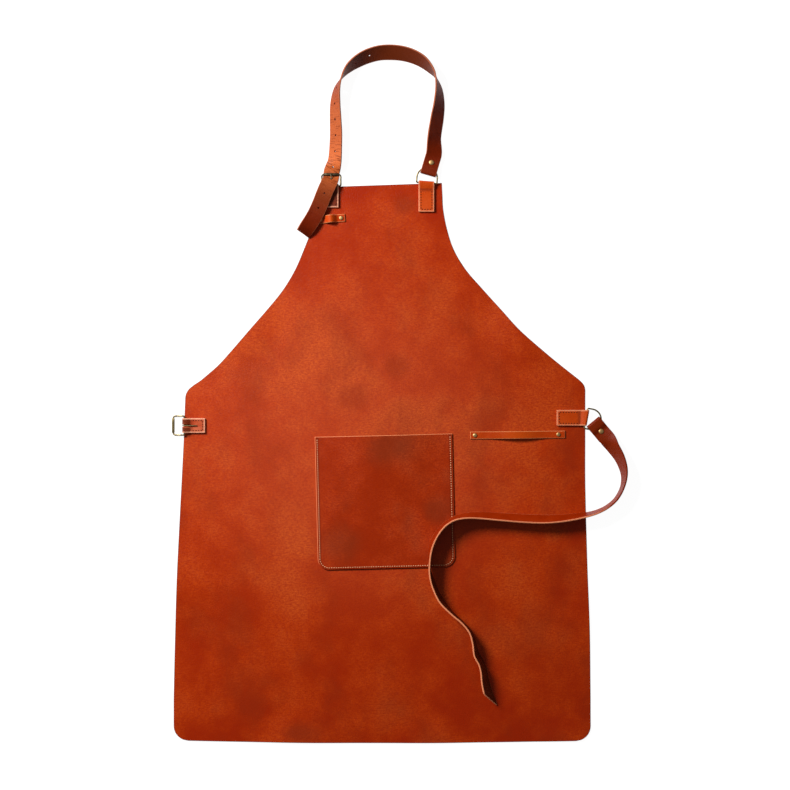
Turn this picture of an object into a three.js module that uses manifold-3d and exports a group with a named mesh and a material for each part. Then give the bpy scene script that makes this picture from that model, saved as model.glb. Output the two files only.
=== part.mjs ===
// Leather bib apron laid flat. Millimetres, X across, Y from hem to bib, Z up from the floor.
// The layout is drawn from the middle of the hem and moved at the end, so that the
// middle of the whole bounding box stands over the origin.
import * as THREE from 'three';
import { mergeVertices } from 'three/addons/utils/BufferGeometryUtils.js';
import Module from 'manifold-3d';

const wasm = await Module();
wasm.setup();

// Leather
const GAP = 0.3;
const BODY_THICK = 2;
const POCKET_THICK = 1.8;
const TAB_THICK = 1.6;
const STRAP_THICK = 2.4;
const STRAP_WIDTH = 24;
const RING_TAB_WIDTH = 23.5;
const BUCKLE_TAB_WIDTH = 22;
const CREASE_LENGTH = 10;
const LOOP_TURN = 115;

// Metal
const RING_WIRE = 1.2;
const RING_RADIUS = 15.3;
const RING_LEG = 7.5;
const RING_CORNER = 2;
const FRAME_WIRE = 1.25;
const FRAME_HALF_WIDTH = 14.25;
const FRAME_DEPTH = 17.5;
const FRAME_CORNER = 4;
const FRAME_BAR_HALF_WIDTH = 2.1;
const FRAME_BAR_HALF_HEIGHT = 1.5;
const PRONG_WIRE = 0.8;
const PRONG_LENGTH = 19.5;
const PRONG_DROP = 0.85;
const EYE_START = -40;
const SLOT_HALF = PRONG_WIRE + 0.7;
const SLOT_TALL = 30;
const TONGUE_ROOM = 0.4;
const TONGUE_FROM = 1;
const TONGUE_TO = 13;
const TONGUE_HOLE = 9;
const POST_RADIUS = 1.4;
const POST_LOW = -5;
const POST_HIGH = 15;
const CAP_GAP = 0.2;
const STRAP_CAP = 3.9;
const STRAP_CAP_DOME = 1.7;
const STRAP_FOOT = 3;
const STRIP_CAP = 3.2;
const STRIP_CAP_DOME = 1.4;
const FOOT_THICK = 0.8;

// Height of a ring bar or buckle bar inside its tab
const TAB_LOWER = BODY_THICK + GAP + TAB_THICK / 2;
const TAB_UPPER = TAB_LOWER + TAB_THICK + GAP;
const RING_HEIGHT = TAB_LOWER + RING_WIRE + GAP + TAB_THICK / 2;
const BUCKLE_HEIGHT = TAB_LOWER + FRAME_WIRE + GAP + TAB_THICK / 2;

// Where each tab's bar lies, which way the tab points outward, how far its loop is pulled askew,
// how far the tab sits along the bar to the left of its outward way, and its stitched length
const NECK_RING = { x: 66.2, y: 838.5, turn: 90, skew: -4, tabShift: 0.4, tabLength: 43 };
const NECK_BUCKLE = { x: -76.7, y: 834, turn: 90, skew: 0, tabShift: 0, tabLength: 32 };
const WAIST_RING = { x: 304.5, y: 486.3, turn: 0, skew: -10, tabShift: 0.8, tabLength: 43.5 };
const WAIST_BUCKLE = { x: -296.5, y: 475.5, turn: 180, skew: 0, tabShift: 0, tabLength: 31 };
const NECK_FRAME_TILT = 3.3;
const WAIST_FRAME_TILT = 12;

// Fold of a strap round its ring
const FOLD_OFFSET = 4.2;
const FOLD_LENGTH = 31;
const FOLD_RIVET = 19.5;
const FOLD_FLAT = 15;
const NECK_PULL = 74;
const WAIST_PULL = -50;
const FOLD_LEAN = 170;

// Apron outline from the bib down to the hem corners
const OUTLINE = [
  { height: 836, left: -92, right: 89 },
  { height: 817, left: -97.5, right: 90 },
  { height: 799, left: -102, right: 91 },
  { height: 769, left: -107, right: 97 },
  { height: 739, left: -118, right: 107 },
  { height: 709, left: -131, right: 125 },
  { height: 679, left: -149, right: 151 },
  { height: 649, left: -173, right: 178 },
  { height: 619, left: -199, right: 205 },
  { height: 589, left: -225, right: 239 },
  { height: 566, left: -246, right: 267 },
  { height: 551, left: -263, right: 286 },
  { height: 542, left: -274, right: 297 },
  { height: 536, left: -283, right: 302 },
  { height: 529, left: -291, right: 304 },
  { height: 521, left: -295, right: 304 },
  { height: 508, left: -296, right: 304 },
  { height: 454, left: -298, right: 304 },
  { height: 394, left: -301, right: 304 },
  { height: 274, left: -307, right: 307 },
  { height: 154, left: -311, right: 311 },
  { height: 64, left: -313, right: 312 },
];
const HEM_CORNER = 22;
const HEM_CORNER_ROWS = 5;
const HEM_BOW = 4;
const HEM_RISE = 3.5;
const BIB_SLOPE = 0.035;
const BIB_SLOPE_ZONE = 70;
const HEM_BOW_ZONE = 60;
const HEM_RISE_ZONE = 200;
const OUTLINE_STEPS = 2;
const BODY_COLUMNS = 14;

// Places where the edge of the sheet stands a little off the floor
const EDGE_LIFTS = [
  { x: -215, y: 630, reach: 70, rise: 3 },
  { x: 222, y: 625, reach: 75, rise: 3.5 },
  { x: -325, y: 235, reach: 85, rise: 2.5 },
  { x: 330, y: 190, reach: 80, rise: 2.5 },
  { x: -120, y: -25, reach: 90, rise: 3 },
  { x: 75, y: -30, reach: 80, rise: 2.5 },
  { x: 285, y: -20, reach: 75, rise: 3 },
];

// Pocket
const POCKET = { x: 4, y: 361, width: 206, height: 200, corner: 17, tilt: 1.4 };
const POCKET_COLUMNS = 14;
const POCKET_ROWS = 10;
const POCKET_CORNER_ROWS = 4;
const POCKET_BULGE = 7;

// Riveted strips: middle, turn, length, width, rivet offsets from the middle and rise of the bow
const TOOL_STRAP = {
  x: 202.5, y: 461.5, turn: 0.6, length: 142, width: 11, left: -64, right: 61, bow: 51, rise: 5.5,
};
const KEEPER = {
  x: -77.5, y: 785, turn: 5, length: 43, width: 11.5, left: -15.5, right: 15.5, bow: 11, rise: 6.8,
};
const BOW_STEPS = 14;

// Neck strap from the ring round the loop, through the buckle and out to its tail.
// base is the height of the strap's lowest edge; lean turns the strap about its run,
// 180 flat with the grain side up, 90 standing on its edge.
const NECK_RUN = [
  { x: 77.4, y: 906, base: 0.2, lean: 146 },
  { x: 81.6, y: 934, base: 0.2, lean: 143 },
  { x: 84.6, y: 957, base: 0.2, lean: 131 },
  { x: 84.1, y: 979, base: 0.2, lean: 114 },
  { x: 79.3, y: 996.7, base: 0.2, lean: 93 },
  { x: 73.1, y: 1006.2, base: 0.2, lean: 76 },
  { x: 59.6, y: 1019.4, base: 0.2, lean: 56 },
  { x: 43.7, y: 1027.8, base: 0.2, lean: 44 },
  { x: 26.9, y: 1032.3, base: 0.2, lean: 37 },
  { x: 11, y: 1033.6, base: 0.2, lean: 33 },
  { x: -4.9, y: 1032.5, base: 0.2, lean: 37 },
  { x: -21.5, y: 1027.7, base: 0.2, lean: 43 },
  { x: -36.4, y: 1020.1, base: 0.2, lean: 54 },
  { x: -50.3, y: 1009.4, base: 0.2, lean: 71 },
  { x: -60.2, y: 996.5, base: 0.2, lean: 92 },
  { x: -67.7, y: 979, base: 0.2, lean: 113 },
  { x: -70.4, y: 956, base: 0.2, lean: 128 },
  { x: -70, y: 934, base: 0.2, lean: 134 },
  { x: -69.3, y: 911, base: 0.2, lean: 138 },
  { x: -70, y: 889, base: 0.2, lean: 141 },
  { x: -70.8, y: 876, base: 0.2, lean: 145 },
  { x: -72, y: 868, base: 0.2, lean: 152 },
  { x: -73.3, y: 863.5, base: 0.2, lean: 162 },
  { x: -74.6, y: 860, base: 0.2, lean: 174 },
  { x: -75.8, y: 857, base: 0.2, lean: 180 },
  { x: -76.5, y: 853, base: 0.2, lean: 180 },
  { x: -76.7, y: 849.6, base: 0.25, lean: 180 },
  { x: -77, y: 847.2, base: 1.3, lean: 180 },
  { x: -77.4, y: 844.6, base: 4.2, lean: 181 },
  { x: -78, y: 841.8, base: 7.3, lean: 182 },
  { x: -79.3, y: 838.6, base: 9.5, lean: 183 },
  { x: -81.2, y: 834.5, base: 9.9, lean: 183 },
  { x: -83.8, y: 829.4, base: 9.5, lean: 183 },
  { x: -87.8, y: 820, base: 8.7, lean: 183 },
  { x: -92.6, y: 808, base: 7.2, lean: 184 },
  { x: -98.2, y: 795.5, base: 6.4, lean: 185 },
  { x: -105, y: 783, base: 6.1, lean: 188 },
  { x: -112, y: 772.2, base: 5.6, lean: 197 },
  { x: -119, y: 762, base: 2.6, lean: 214 },
];
// Neck strap holes, evenly spaced from the hole that the prong goes through
const NECK_HOLE_SPACING = 23.7;
const NECK_HOLES_BEFORE = 9;
const NECK_HOLES_AFTER = 2;
const STRAP_HOLE_RADIUS = 1.6;

// Waist strap from the ring over the floor and across the apron to its free end
const WAIST_RUN = [
  { x: 343.8, y: 444, base: 0.2, lean: 137 },
  { x: 353.6, y: 428.2, base: 0.2, lean: 122 },
  { x: 359.6, y: 411.4, base: 0.2, lean: 110 },
  { x: 360.8, y: 398, base: 0.2, lean: 100 },
  { x: 357.5, y: 382, base: 0.2, lean: 93 },
  { x: 348.3, y: 365.7, base: 0.2, lean: 92 },
  { x: 335.3, y: 354.4, base: 0.2, lean: 93 },
  { x: 322.3, y: 347.8, base: 0.8, lean: 95 },
  { x: 310, y: 344, base: 2.3, lean: 98 },
  { x: 296, y: 341.2, base: 2.4, lean: 102 },
  { x: 274, y: 338, base: 2.4, lean: 108 },
  { x: 244, y: 336, base: 2.4, lean: 114 },
  { x: 212, y: 337, base: 2.4, lean: 115 },
  { x: 175, y: 339.5, base: 2.4, lean: 112 },
  { x: 145, y: 341.5, base: 2.6, lean: 108 },
  { x: 125, y: 341.2, base: 4.3, lean: 103 },
  { x: 108, y: 337.5, base: 4.6, lean: 98 },
  { x: 95, y: 330, base: 4.6, lean: 97 },
  { x: 84.5, y: 319, base: 4.6, lean: 98 },
  { x: 75.5, y: 304, base: 4.6, lean: 100 },
  { x: 71, y: 289, base: 4.6, lean: 98 },
  { x: 70, y: 274, base: 4.6, lean: 92 },
  { x: 71, y: 257, base: 4.4, lean: 84 },
  { x: 76, y: 239, base: 2.6, lean: 77 },
  { x: 86, y: 217, base: 2.4, lean: 76 },
  { x: 102, y: 197.5, base: 2.4, lean: 85 },
  { x: 118, y: 183, base: 2.4, lean: 88 },
  { x: 130.5, y: 168.5, base: 2.4, lean: 84 },
  { x: 136.5, y: 151.5, base: 2.4, lean: 78 },
  { x: 140, y: 134.5, base: 2.4, lean: 72 },
  { x: 147, y: 122, base: 2.4, lean: 70 },
  { x: 151, y: 109, base: 2.4, lean: 66 },
  { x: 153, y: 95, base: 2.4, lean: 62 },
  { x: 157.5, y: 77, base: 2.4, lean: 58 },
  { x: 165, y: 55, base: 2.4, lean: 58 },
];
const WAIST_HOLE_SPACING = 24;
const WAIST_HOLE_COUNT = 6;
const WAIST_HOLE_FROM_TIP = 50;
const WAIST_TIP_CUT = 26;
const TIP_WIDTH = 1;
const NECK_STEPS = 2;
const WAIST_STEPS = 2;

const UP = new THREE.Vector3(0, 0, 1);

function radians(degrees) {
  return THREE.MathUtils.degToRad(degrees);
}

// Flat unit direction at an angle from X
function heading(degrees) {
  return new THREE.Vector3(Math.cos(radians(degrees)), Math.sin(radians(degrees)), 0);
}

// Joins and cuts
function solid(geometry) {
  const plain = new THREE.BufferGeometry();
  plain.setAttribute('position', geometry.getAttribute('position').clone());
  if (geometry.index) {
    plain.setIndex(geometry.index.clone());
  }
  const welded = mergeVertices(plain, 1e-4);
  return new wasm.Manifold(new wasm.Mesh({
    numProp: 3,
    vertProperties: new Float32Array(welded.getAttribute('position').array),
    triVerts: new Uint32Array(welded.index.array),
  }));
}

function surface(body) {
  const mesh = body.getMesh();
  const geometry = new THREE.BufferGeometry();
  geometry.setAttribute('position', new THREE.BufferAttribute(new Float32Array(mesh.vertProperties), 3));
  geometry.setIndex(new THREE.BufferAttribute(new Uint32Array(mesh.triVerts), 1));
  return geometry;
}

function cut(geometry, cutters) {
  let body = solid(geometry);
  for (const cutter of cutters) {
    body = body.subtract(solid(cutter));
  }
  return surface(body);
}

// A straight round bar between two points, used to cut holes
function bar(start, end, radius, sides) {
  const run = new THREE.Vector3().subVectors(end, start);
  const geometry = new THREE.CylinderGeometry(radius, radius, run.length(), sides);
  const spin = new THREE.Quaternion().setFromUnitVectors(new THREE.Vector3(0, 1, 0), run.clone().normalize());
  geometry.applyQuaternion(spin);
  const middle = new THREE.Vector3().addVectors(start, end).multiplyScalar(0.5);
  geometry.translate(middle.x, middle.y, middle.z);
  return geometry;
}

// Cutter for an upright rivet post with a little room round it
function postCutter(place) {
  const low = new THREE.Vector3(place.x, place.y, POST_LOW);
  const high = new THREE.Vector3(place.x, place.y, POST_HIGH);
  return bar(low, high, POST_RADIUS + GAP, 10);
}

function indexed(positions, triangles) {
  const geometry = new THREE.BufferGeometry();
  geometry.setAttribute('position', new THREE.Float32BufferAttribute(positions, 3));
  geometry.setIndex(triangles);
  return geometry;
}

// A leather sheet from rows of left and right edges, with an underside height at each point
function sheet(rows, columns, thickness, place) {
  const positions = [];
  const triangles = [];
  const stride = columns + 1;
  const layer = rows.length * stride;
  for (const rise of [0, thickness]) {
    for (const row of rows) {
      for (let column = 0; column <= columns; column += 1) {
        const x = THREE.MathUtils.lerp(row.left, row.right, column / columns);
        const point = place(x, row.height);
        positions.push(point.x, point.y, point.z + rise);
      }
    }
  }
  const quad = (a, b, c, d) => triangles.push(a, b, c, a, c, d);
  for (let row = 0; row < rows.length - 1; row += 1) {
    for (let column = 0; column < columns; column += 1) {
      const a = row * stride + column;
      const d = a + stride;
      quad(a, d, d + 1, a + 1);
      quad(layer + a, layer + a + 1, layer + d + 1, layer + d);
    }
    const left = row * stride;
    const right = left + columns;
    quad(left, layer + left, layer + left + stride, left + stride);
    quad(right, right + stride, layer + right + stride, layer + right);
  }
  const top = (rows.length - 1) * stride;
  for (let column = 0; column < columns; column += 1) {
    quad(column, column + 1, layer + column + 1, layer + column);
    quad(top + column, layer + top + column, layer + top + column + 1, top + column + 1);
  }
  return indexed(positions, triangles);
}

// Rows for a rounded bottom corner, from the straight bottom edge up to the side
function cornerRows(left, right, radius, count) {
  const rows = [];
  for (let step = 0; step < count; step += 1) {
    const angle = (Math.PI / 2) * (step / count);
    const inset = radius * (1 - Math.sin(angle));
    rows.push({ height: radius * (1 - Math.cos(angle)), left: left + inset, right: right - inset });
  }
  rows.push({ height: radius, left, right });
  return rows;
}

// A curve of edges through the outline rows
function smoothRows(rows, steps) {
  const points = rows.map((row) => new THREE.Vector3(row.left, row.height, row.right));
  const curve = new THREE.CatmullRomCurve3(points, false, 'centripetal');
  const count = (rows.length - 1) * steps;
  const result = [];
  for (let step = 0; step <= count; step += 1) {
    const point = curve.getPoint(step / count);
    result.push({ height: point.y, left: point.x, right: point.z });
  }
  return result;
}

function bodyLift(x, y) {
  let lift = 0;
  for (const spot of EDGE_LIFTS) {
    const far = Math.hypot(x - spot.x, y - spot.y) / spot.reach;
    if (far < 1) {
      lift += spot.rise * (1 - far * far) ** 2;
    }
  }
  return lift;
}

function apronBody(posts) {
  const hemLeft = OUTLINE[OUTLINE.length - 1].left;
  const hemRight = OUTLINE[OUTLINE.length - 1].right;
  const hem = cornerRows(hemLeft, hemRight, HEM_CORNER, HEM_CORNER_ROWS);
  const rows = [...hem, ...smoothRows([...OUTLINE].reverse(), OUTLINE_STEPS)];
  const top = OUTLINE[0].height;
  const place = (x, height) => {
    const bow = HEM_BOW * (1 - (x / hemRight) ** 2) * Math.max(0, 1 - height / HEM_BOW_ZONE);
    const bib = THREE.MathUtils.smoothstep(height, top - BIB_SLOPE_ZONE, top);
    const rise = HEM_RISE * Math.max(0, 1 - height / HEM_RISE_ZONE);
    const y = height - bow + rise + BIB_SLOPE * x * bib;
    return new THREE.Vector3(x, y, bodyLift(x, y));
  };
  return cut(sheet(rows, BODY_COLUMNS, BODY_THICK, place), posts.map(postCutter));
}

function pocket() {
  const half = POCKET.width / 2;
  const rows = cornerRows(-half, half, POCKET.corner, POCKET_CORNER_ROWS);
  for (let row = 1; row <= POCKET_ROWS; row += 1) {
    const height = THREE.MathUtils.lerp(POCKET.corner, POCKET.height, row / POCKET_ROWS);
    rows.push({ height, left: -half, right: half });
  }
  const place = (x, height) => {
    const across = 1 - (x / half) ** 2;
    const along = height / POCKET.height;
    const bulge = POCKET_BULGE * across ** 2 * along ** 2;
    return new THREE.Vector3(x, height - POCKET.height / 2, BODY_THICK + GAP + bulge);
  };
  const geometry = sheet(rows, POCKET_COLUMNS, POCKET_THICK, place);
  geometry.rotateZ(radians(POCKET.tilt));
  geometry.translate(POCKET.x, POCKET.y, 0);
  return geometry;
}

// Closed outline of a strip of even thickness along a run of points
function stripShape(points, thickness) {
  const upper = [];
  const lower = [];
  points.forEach((point, index) => {
    const before = points[Math.max(index - 1, 0)];
    const after = points[Math.min(index + 1, points.length - 1)];
    const first = new THREE.Vector2().subVectors(point, before);
    const second = new THREE.Vector2().subVectors(after, point);
    if (index === 0) {
      first.copy(second);
    }
    if (index === points.length - 1) {
      second.copy(first);
    }
    first.normalize();
    second.normalize();
    const run = new THREE.Vector2().addVectors(first, second).normalize();
    const reach = thickness / 2 / Math.max(run.dot(first), 0.5);
    const side = new THREE.Vector2(-run.y, run.x).multiplyScalar(reach);
    upper.push(new THREE.Vector2().addVectors(point, side));
    lower.push(new THREE.Vector2().subVectors(point, side));
  });
  return new THREE.Shape([...lower, ...upper.reverse()]);
}

// A strip drawn in its own length and height, widened across and laid with its length along X
function strip(points, thickness, width) {
  const geometry = new THREE.ExtrudeGeometry(stripShape(points, thickness), {
    depth: width,
    bevelEnabled: false,
    steps: 1,
  });
  geometry.rotateX(Math.PI / 2);
  geometry.translate(0, width / 2, 0);
  return geometry;
}

function arcPoints(x, y, radius, from, to, steps) {
  const points = [];
  for (let step = 0; step <= steps; step += 1) {
    const angle = radians(THREE.MathUtils.lerp(from, to, step / steps));
    points.push(new THREE.Vector2(x + radius * Math.cos(angle), y + radius * Math.sin(angle)));
  }
  return points;
}

// A tab folded round a bar, its bar at the origin of its own frame and its loop outward along X
function tab(seat, wire, width, slotHalf) {
  const loop = wire + GAP + TAB_THICK / 2;
  const length = seat.tabLength;
  const points = [
    new THREE.Vector2(-length, TAB_LOWER),
    new THREE.Vector2(-CREASE_LENGTH, TAB_LOWER),
    ...arcPoints(0, TAB_LOWER + loop, loop, -90, LOOP_TURN, 9),
    new THREE.Vector2(-CREASE_LENGTH, TAB_UPPER),
    new THREE.Vector2(-length, TAB_UPPER),
  ];
  let geometry = strip(points, TAB_THICK, width);
  if (slotHalf > 0) {
    const slot = new THREE.BoxGeometry(2 * CREASE_LENGTH, 2 * slotHalf, SLOT_TALL);
    geometry = cut(geometry, [slot]);
  }
  const position = geometry.getAttribute('position');
  for (let index = 0; index < position.count; index += 1) {
    const y = position.getY(index) + seat.tabShift;
    const share = THREE.MathUtils.clamp(1 + position.getX(index) / CREASE_LENGTH, 0, 1);
    position.setX(index, position.getX(index) - Math.tan(radians(seat.skew)) * y * share);
    position.setY(index, y);
  }
  geometry.rotateZ(radians(seat.turn));
  geometry.translate(seat.x, seat.y, 0);
  return geometry;
}

// A wire bent round a closed flat loop; each station has its own half width and half height
function wireLoop(stations, sides) {
  const positions = [];
  const triangles = [];
  const count = stations.length;
  stations.forEach((station, index) => {
    const before = stations[(index + count - 1) % count];
    const after = stations[(index + 1) % count];
    const run = new THREE.Vector2(after.x - before.x, after.y - before.y).normalize();
    for (let side = 0; side < sides; side += 1) {
      const angle = (2 * Math.PI * side) / sides;
      const out = station.half * Math.cos(angle);
      positions.push(station.x + run.y * out, station.y - run.x * out, station.tall * Math.sin(angle));
    }
  });
  for (let index = 0; index < count; index += 1) {
    const here = index * sides;
    const next = ((index + 1) % count) * sides;
    for (let side = 0; side < sides; side += 1) {
      const turn = (side + 1) % sides;
      triangles.push(here + side, next + turn, here + turn);
      triangles.push(here + side, next + side, next + turn);
    }
  }
  return indexed(positions, triangles);
}

function stationsFrom(points, half, tall) {
  return points.map((point) => ({ x: point.x, y: point.y, half, tall }));
}

// D-shaped ring: a straight bar at X = 0, short legs and a half round, flat in its own frame
function dRing(seat) {
  const inner = RING_RADIUS - RING_CORNER;
  const points = [
    ...arcPoints(RING_CORNER, -inner, RING_CORNER, -180, -90, 3),
    ...arcPoints(RING_LEG, 0, RING_RADIUS, -90, 90, 16),
    ...arcPoints(RING_CORNER, inner, RING_CORNER, 90, 180, 3),
    new THREE.Vector2(0, 0),
  ];
  const geometry = wireLoop(stationsFrom(points, RING_WIRE, RING_WIRE), 8);
  geometry.rotateZ(radians(seat.turn + seat.skew));
  geometry.translate(seat.x, seat.y, RING_HEIGHT);
  return geometry;
}

// Buckle frame: thin bar and arms, and a wider flattened bar at its far end
function buckleFrame(seat, tilt) {
  const corner = FRAME_HALF_WIDTH - FRAME_CORNER;
  const inner = FRAME_HALF_WIDTH - RING_CORNER;
  const far = FRAME_DEPTH - FRAME_CORNER;
  const outerBar = [
    { x: FRAME_DEPTH, y: -corner, half: FRAME_BAR_HALF_WIDTH, tall: FRAME_BAR_HALF_HEIGHT },
    { x: FRAME_DEPTH, y: corner, half: FRAME_BAR_HALF_WIDTH, tall: FRAME_BAR_HALF_HEIGHT },
  ];
  const stations = [
    ...stationsFrom(arcPoints(RING_CORNER, -inner, RING_CORNER, -180, -90, 3), FRAME_WIRE, FRAME_WIRE),
    ...stationsFrom(arcPoints(far, -corner, FRAME_CORNER, -90, -20, 4), FRAME_WIRE, FRAME_WIRE),
    ...outerBar,
    ...stationsFrom(arcPoints(far, corner, FRAME_CORNER, 20, 90, 4), FRAME_WIRE, FRAME_WIRE),
    ...stationsFrom(arcPoints(RING_CORNER, inner, RING_CORNER, 90, 180, 3), FRAME_WIRE, FRAME_WIRE),
    { x: 0, y: 0, half: FRAME_WIRE, tall: FRAME_WIRE },
  ];
  const geometry = wireLoop(stations, 8);
  geometry.rotateY(radians(tilt));
  geometry.rotateZ(radians(seat.turn));
  geometry.translate(seat.x, seat.y, BUCKLE_HEIGHT);
  return geometry;
}

// Buckle prong: an eye round the bar and a straight tongue off its top, toward side +1 or -1 of the bar
function prong(seat, side) {
  const eye = FRAME_WIRE + GAP + PRONG_WIRE;
  const turns = arcPoints(0, 0, eye, EYE_START, -270, 11);
  const points = turns.map((point) => new THREE.Vector3(side * point.x, 0, point.y));
  points.push(new THREE.Vector3(side * PRONG_LENGTH * 0.5, 0, eye - PRONG_DROP * 0.5));
  points.push(new THREE.Vector3(side * PRONG_LENGTH, 0, eye - PRONG_DROP));
  const across = new THREE.Vector3(0, side, 0);
  const geometry = tube(points, across, PRONG_WIRE, 8);
  geometry.rotateZ(radians(seat.turn));
  geometry.translate(seat.x, seat.y, BUCKLE_HEIGHT);
  return geometry;
}

// A round wire along an open flat run of points
function tube(points, across, radius, sides) {
  const positions = [];
  const triangles = [];
  points.forEach((point, index) => {
    const before = points[Math.max(index - 1, 0)];
    const after = points[Math.min(index + 1, points.length - 1)];
    const run = new THREE.Vector3().subVectors(after, before).normalize();
    const normal = new THREE.Vector3().crossVectors(run, across);
    for (let side = 0; side < sides; side += 1) {
      const angle = (2 * Math.PI * side) / sides;
      const place = point.clone();
      place.addScaledVector(across, radius * Math.cos(angle));
      place.addScaledVector(normal, radius * Math.sin(angle));
      positions.push(place.x, place.y, place.z);
    }
  });
  const last = (points.length - 1) * sides;
  for (let index = 0; index < points.length - 1; index += 1) {
    const here = index * sides;
    const next = here + sides;
    for (let side = 0; side < sides; side += 1) {
      const turn = (side + 1) % sides;
      triangles.push(here + side, here + turn, next + turn);
      triangles.push(here + side, next + turn, next + side);
    }
  }
  for (let side = 1; side < sides - 1; side += 1) {
    triangles.push(0, side + 1, side);
    triangles.push(last, last + side, last + side + 1);
  }
  return indexed(positions, triangles);
}

// Stations of a strap: its middle line and the direction across it
function foldStations(seat, pull) {
  const out = heading(seat.turn + seat.skew);
  const along = heading(pull);
  const across = new THREE.Vector3(-along.y, along.x, 0);
  const start = new THREE.Vector3(seat.x, seat.y, 0).addScaledVector(out, RING_LEG);
  start.addScaledVector(along, FOLD_OFFSET);
  const loop = RING_WIRE + GAP + STRAP_THICK / 2;
  const centre = loop + STRAP_THICK / 2;
  const lower = RING_HEIGHT - loop;
  const upper = lower + STRAP_THICK + GAP;
  const apex = RING_RADIUS - FOLD_OFFSET;
  const drop = THREE.MathUtils.radToDeg(Math.acos(loop / (FOLD_FLAT - apex)));
  const profile = [
    new THREE.Vector2(FOLD_LENGTH, lower),
    new THREE.Vector2(FOLD_RIVET, lower),
    ...arcPoints(centre, RING_HEIGHT, loop, -90, -270, 8),
    ...arcPoints(apex, RING_HEIGHT, loop, 90, drop, 2),
    new THREE.Vector2(FOLD_FLAT, upper),
    new THREE.Vector2(FOLD_RIVET + 2, upper),
  ];
  return profile.map((point) => ({
    at: start.clone().addScaledVector(along, point.x).setZ(point.y),
    across: across.clone(),
  }));
}

function runStations(seat, pull, rows, steps) {
  const fold = foldStations(seat, pull);
  const last = fold[fold.length - 1];
  const along = heading(pull);
  const lift = last.at.z - STRAP_THICK / 2;
  const leaving = last.at.clone().addScaledVector(along, FOLD_LENGTH - FOLD_RIVET);
  const lead = [
    { x: last.at.x, y: last.at.y, base: lift, lean: 180 },
    { x: leaving.x, y: leaving.y, base: lift, lean: FOLD_LEAN },
  ];
  const all = [...lead, ...rows];
  const plan = new THREE.CatmullRomCurve3(
    all.map((row) => new THREE.Vector3(row.x, row.y, 0)), false, 'centripetal');
  const pose = new THREE.CatmullRomCurve3(
    all.map((row) => new THREE.Vector3(row.lean, row.base, 0)), false, 'centripetal');
  const count = (all.length - 1) * steps;
  const stations = [...fold];
  for (let step = 1; step <= count; step += 1) {
    const point = plan.getPoint(step / count);
    const run = plan.getTangent(step / count);
    const state = pose.getPoint(step / count);
    const lean = radians(state.x);
    const right = new THREE.Vector3(run.y, -run.x, 0).normalize();
    const across = right.multiplyScalar(Math.cos(lean)).addScaledVector(UP, Math.sin(lean));
    const edgeRise = (STRAP_WIDTH / 2) * Math.abs(Math.sin(lean));
    const faceRise = (STRAP_THICK / 2) * Math.abs(Math.cos(lean));
    stations.push({ at: point.setZ(state.y + edgeRise + faceRise), across });
  }
  return stations;
}

// Length along the strap from the outer line of its fold, with squared-up directions at each station
function measured(stations) {
  let length = -FOLD_LENGTH;
  return stations.map((station, index) => {
    const before = stations[Math.max(index - 1, 0)].at;
    const after = stations[Math.min(index + 1, stations.length - 1)].at;
    const run = new THREE.Vector3().subVectors(after, before).normalize();
    const across = station.across.clone().addScaledVector(run, -station.across.dot(run)).normalize();
    const normal = new THREE.Vector3().crossVectors(run, across);
    length += station.at.distanceTo(before);
    return { at: station.at, run, across, normal, length };
  });
}

function band(stations, tipCut) {
  const positions = [];
  const triangles = [];
  const total = stations[stations.length - 1].length;
  const half = STRAP_WIDTH / 2;
  for (const station of stations) {
    let far = half;
    if (tipCut > 0) {
      far = Math.min(half, -half + TIP_WIDTH + ((total - station.length) / tipCut) * STRAP_WIDTH);
    }
    for (const [side, rise] of [[-half, -1], [far, -1], [far, 1], [-half, 1]]) {
      const place = station.at.clone();
      place.addScaledVector(station.across, side);
      place.addScaledVector(station.normal, (rise * STRAP_THICK) / 2);
      positions.push(place.x, place.y, place.z);
    }
  }
  for (let index = 0; index < stations.length - 1; index += 1) {
    for (let side = 0; side < 4; side += 1) {
      const turn = (side + 1) % 4;
      const here = index * 4;
      triangles.push(here + side, here + turn, here + 4 + turn);
      triangles.push(here + side, here + 4 + turn, here + 4 + side);
    }
  }
  const end = (stations.length - 1) * 4;
  triangles.push(0, 2, 1, 0, 3, 2);
  triangles.push(end, end + 1, end + 2, end, end + 2, end + 3);
  return indexed(positions, triangles);
}

// Length along the strap where its last stretch first comes down to a given Y
function lengthAt(stations, y) {
  const last = stations.findLastIndex((station) => station.at.y >= y);
  const a = stations[last];
  const b = stations[last + 1];
  return THREE.MathUtils.mapLinear(y, a.at.y, b.at.y, a.length, b.length);
}

// Hole cutters square to the strap at lengths along it
function holeCutters(stations, lengths) {
  return lengths.map((length) => {
    const next = stations.findIndex((station) => station.length >= length);
    const a = stations[next - 1];
    const b = stations[next];
    const blend = (length - a.length) / (b.length - a.length);
    const middle = new THREE.Vector3().lerpVectors(a.at, b.at, blend);
    const normal = new THREE.Vector3().lerpVectors(a.normal, b.normal, blend).normalize();
    const start = middle.clone().addScaledVector(normal, -2 * STRAP_THICK);
    const end = middle.clone().addScaledVector(normal, 2 * STRAP_THICK);
    return bar(start, end, STRAP_HOLE_RADIUS, 8);
  });
}

function foldRivetPlace(seat, pull) {
  const place = new THREE.Vector3(seat.x, seat.y, 0);
  place.addScaledVector(heading(seat.turn + seat.skew), RING_LEG);
  return place.addScaledVector(heading(pull), FOLD_OFFSET + FOLD_RIVET);
}

// Section of a rivet cap, as shares of its radius and of its height
const DOME = [
  { share: 1, rise: 0 },
  { share: 0.98, rise: 0.35 },
  { share: 0.8, rise: 0.78 },
  { share: 0.45, rise: 0.96 },
];

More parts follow.
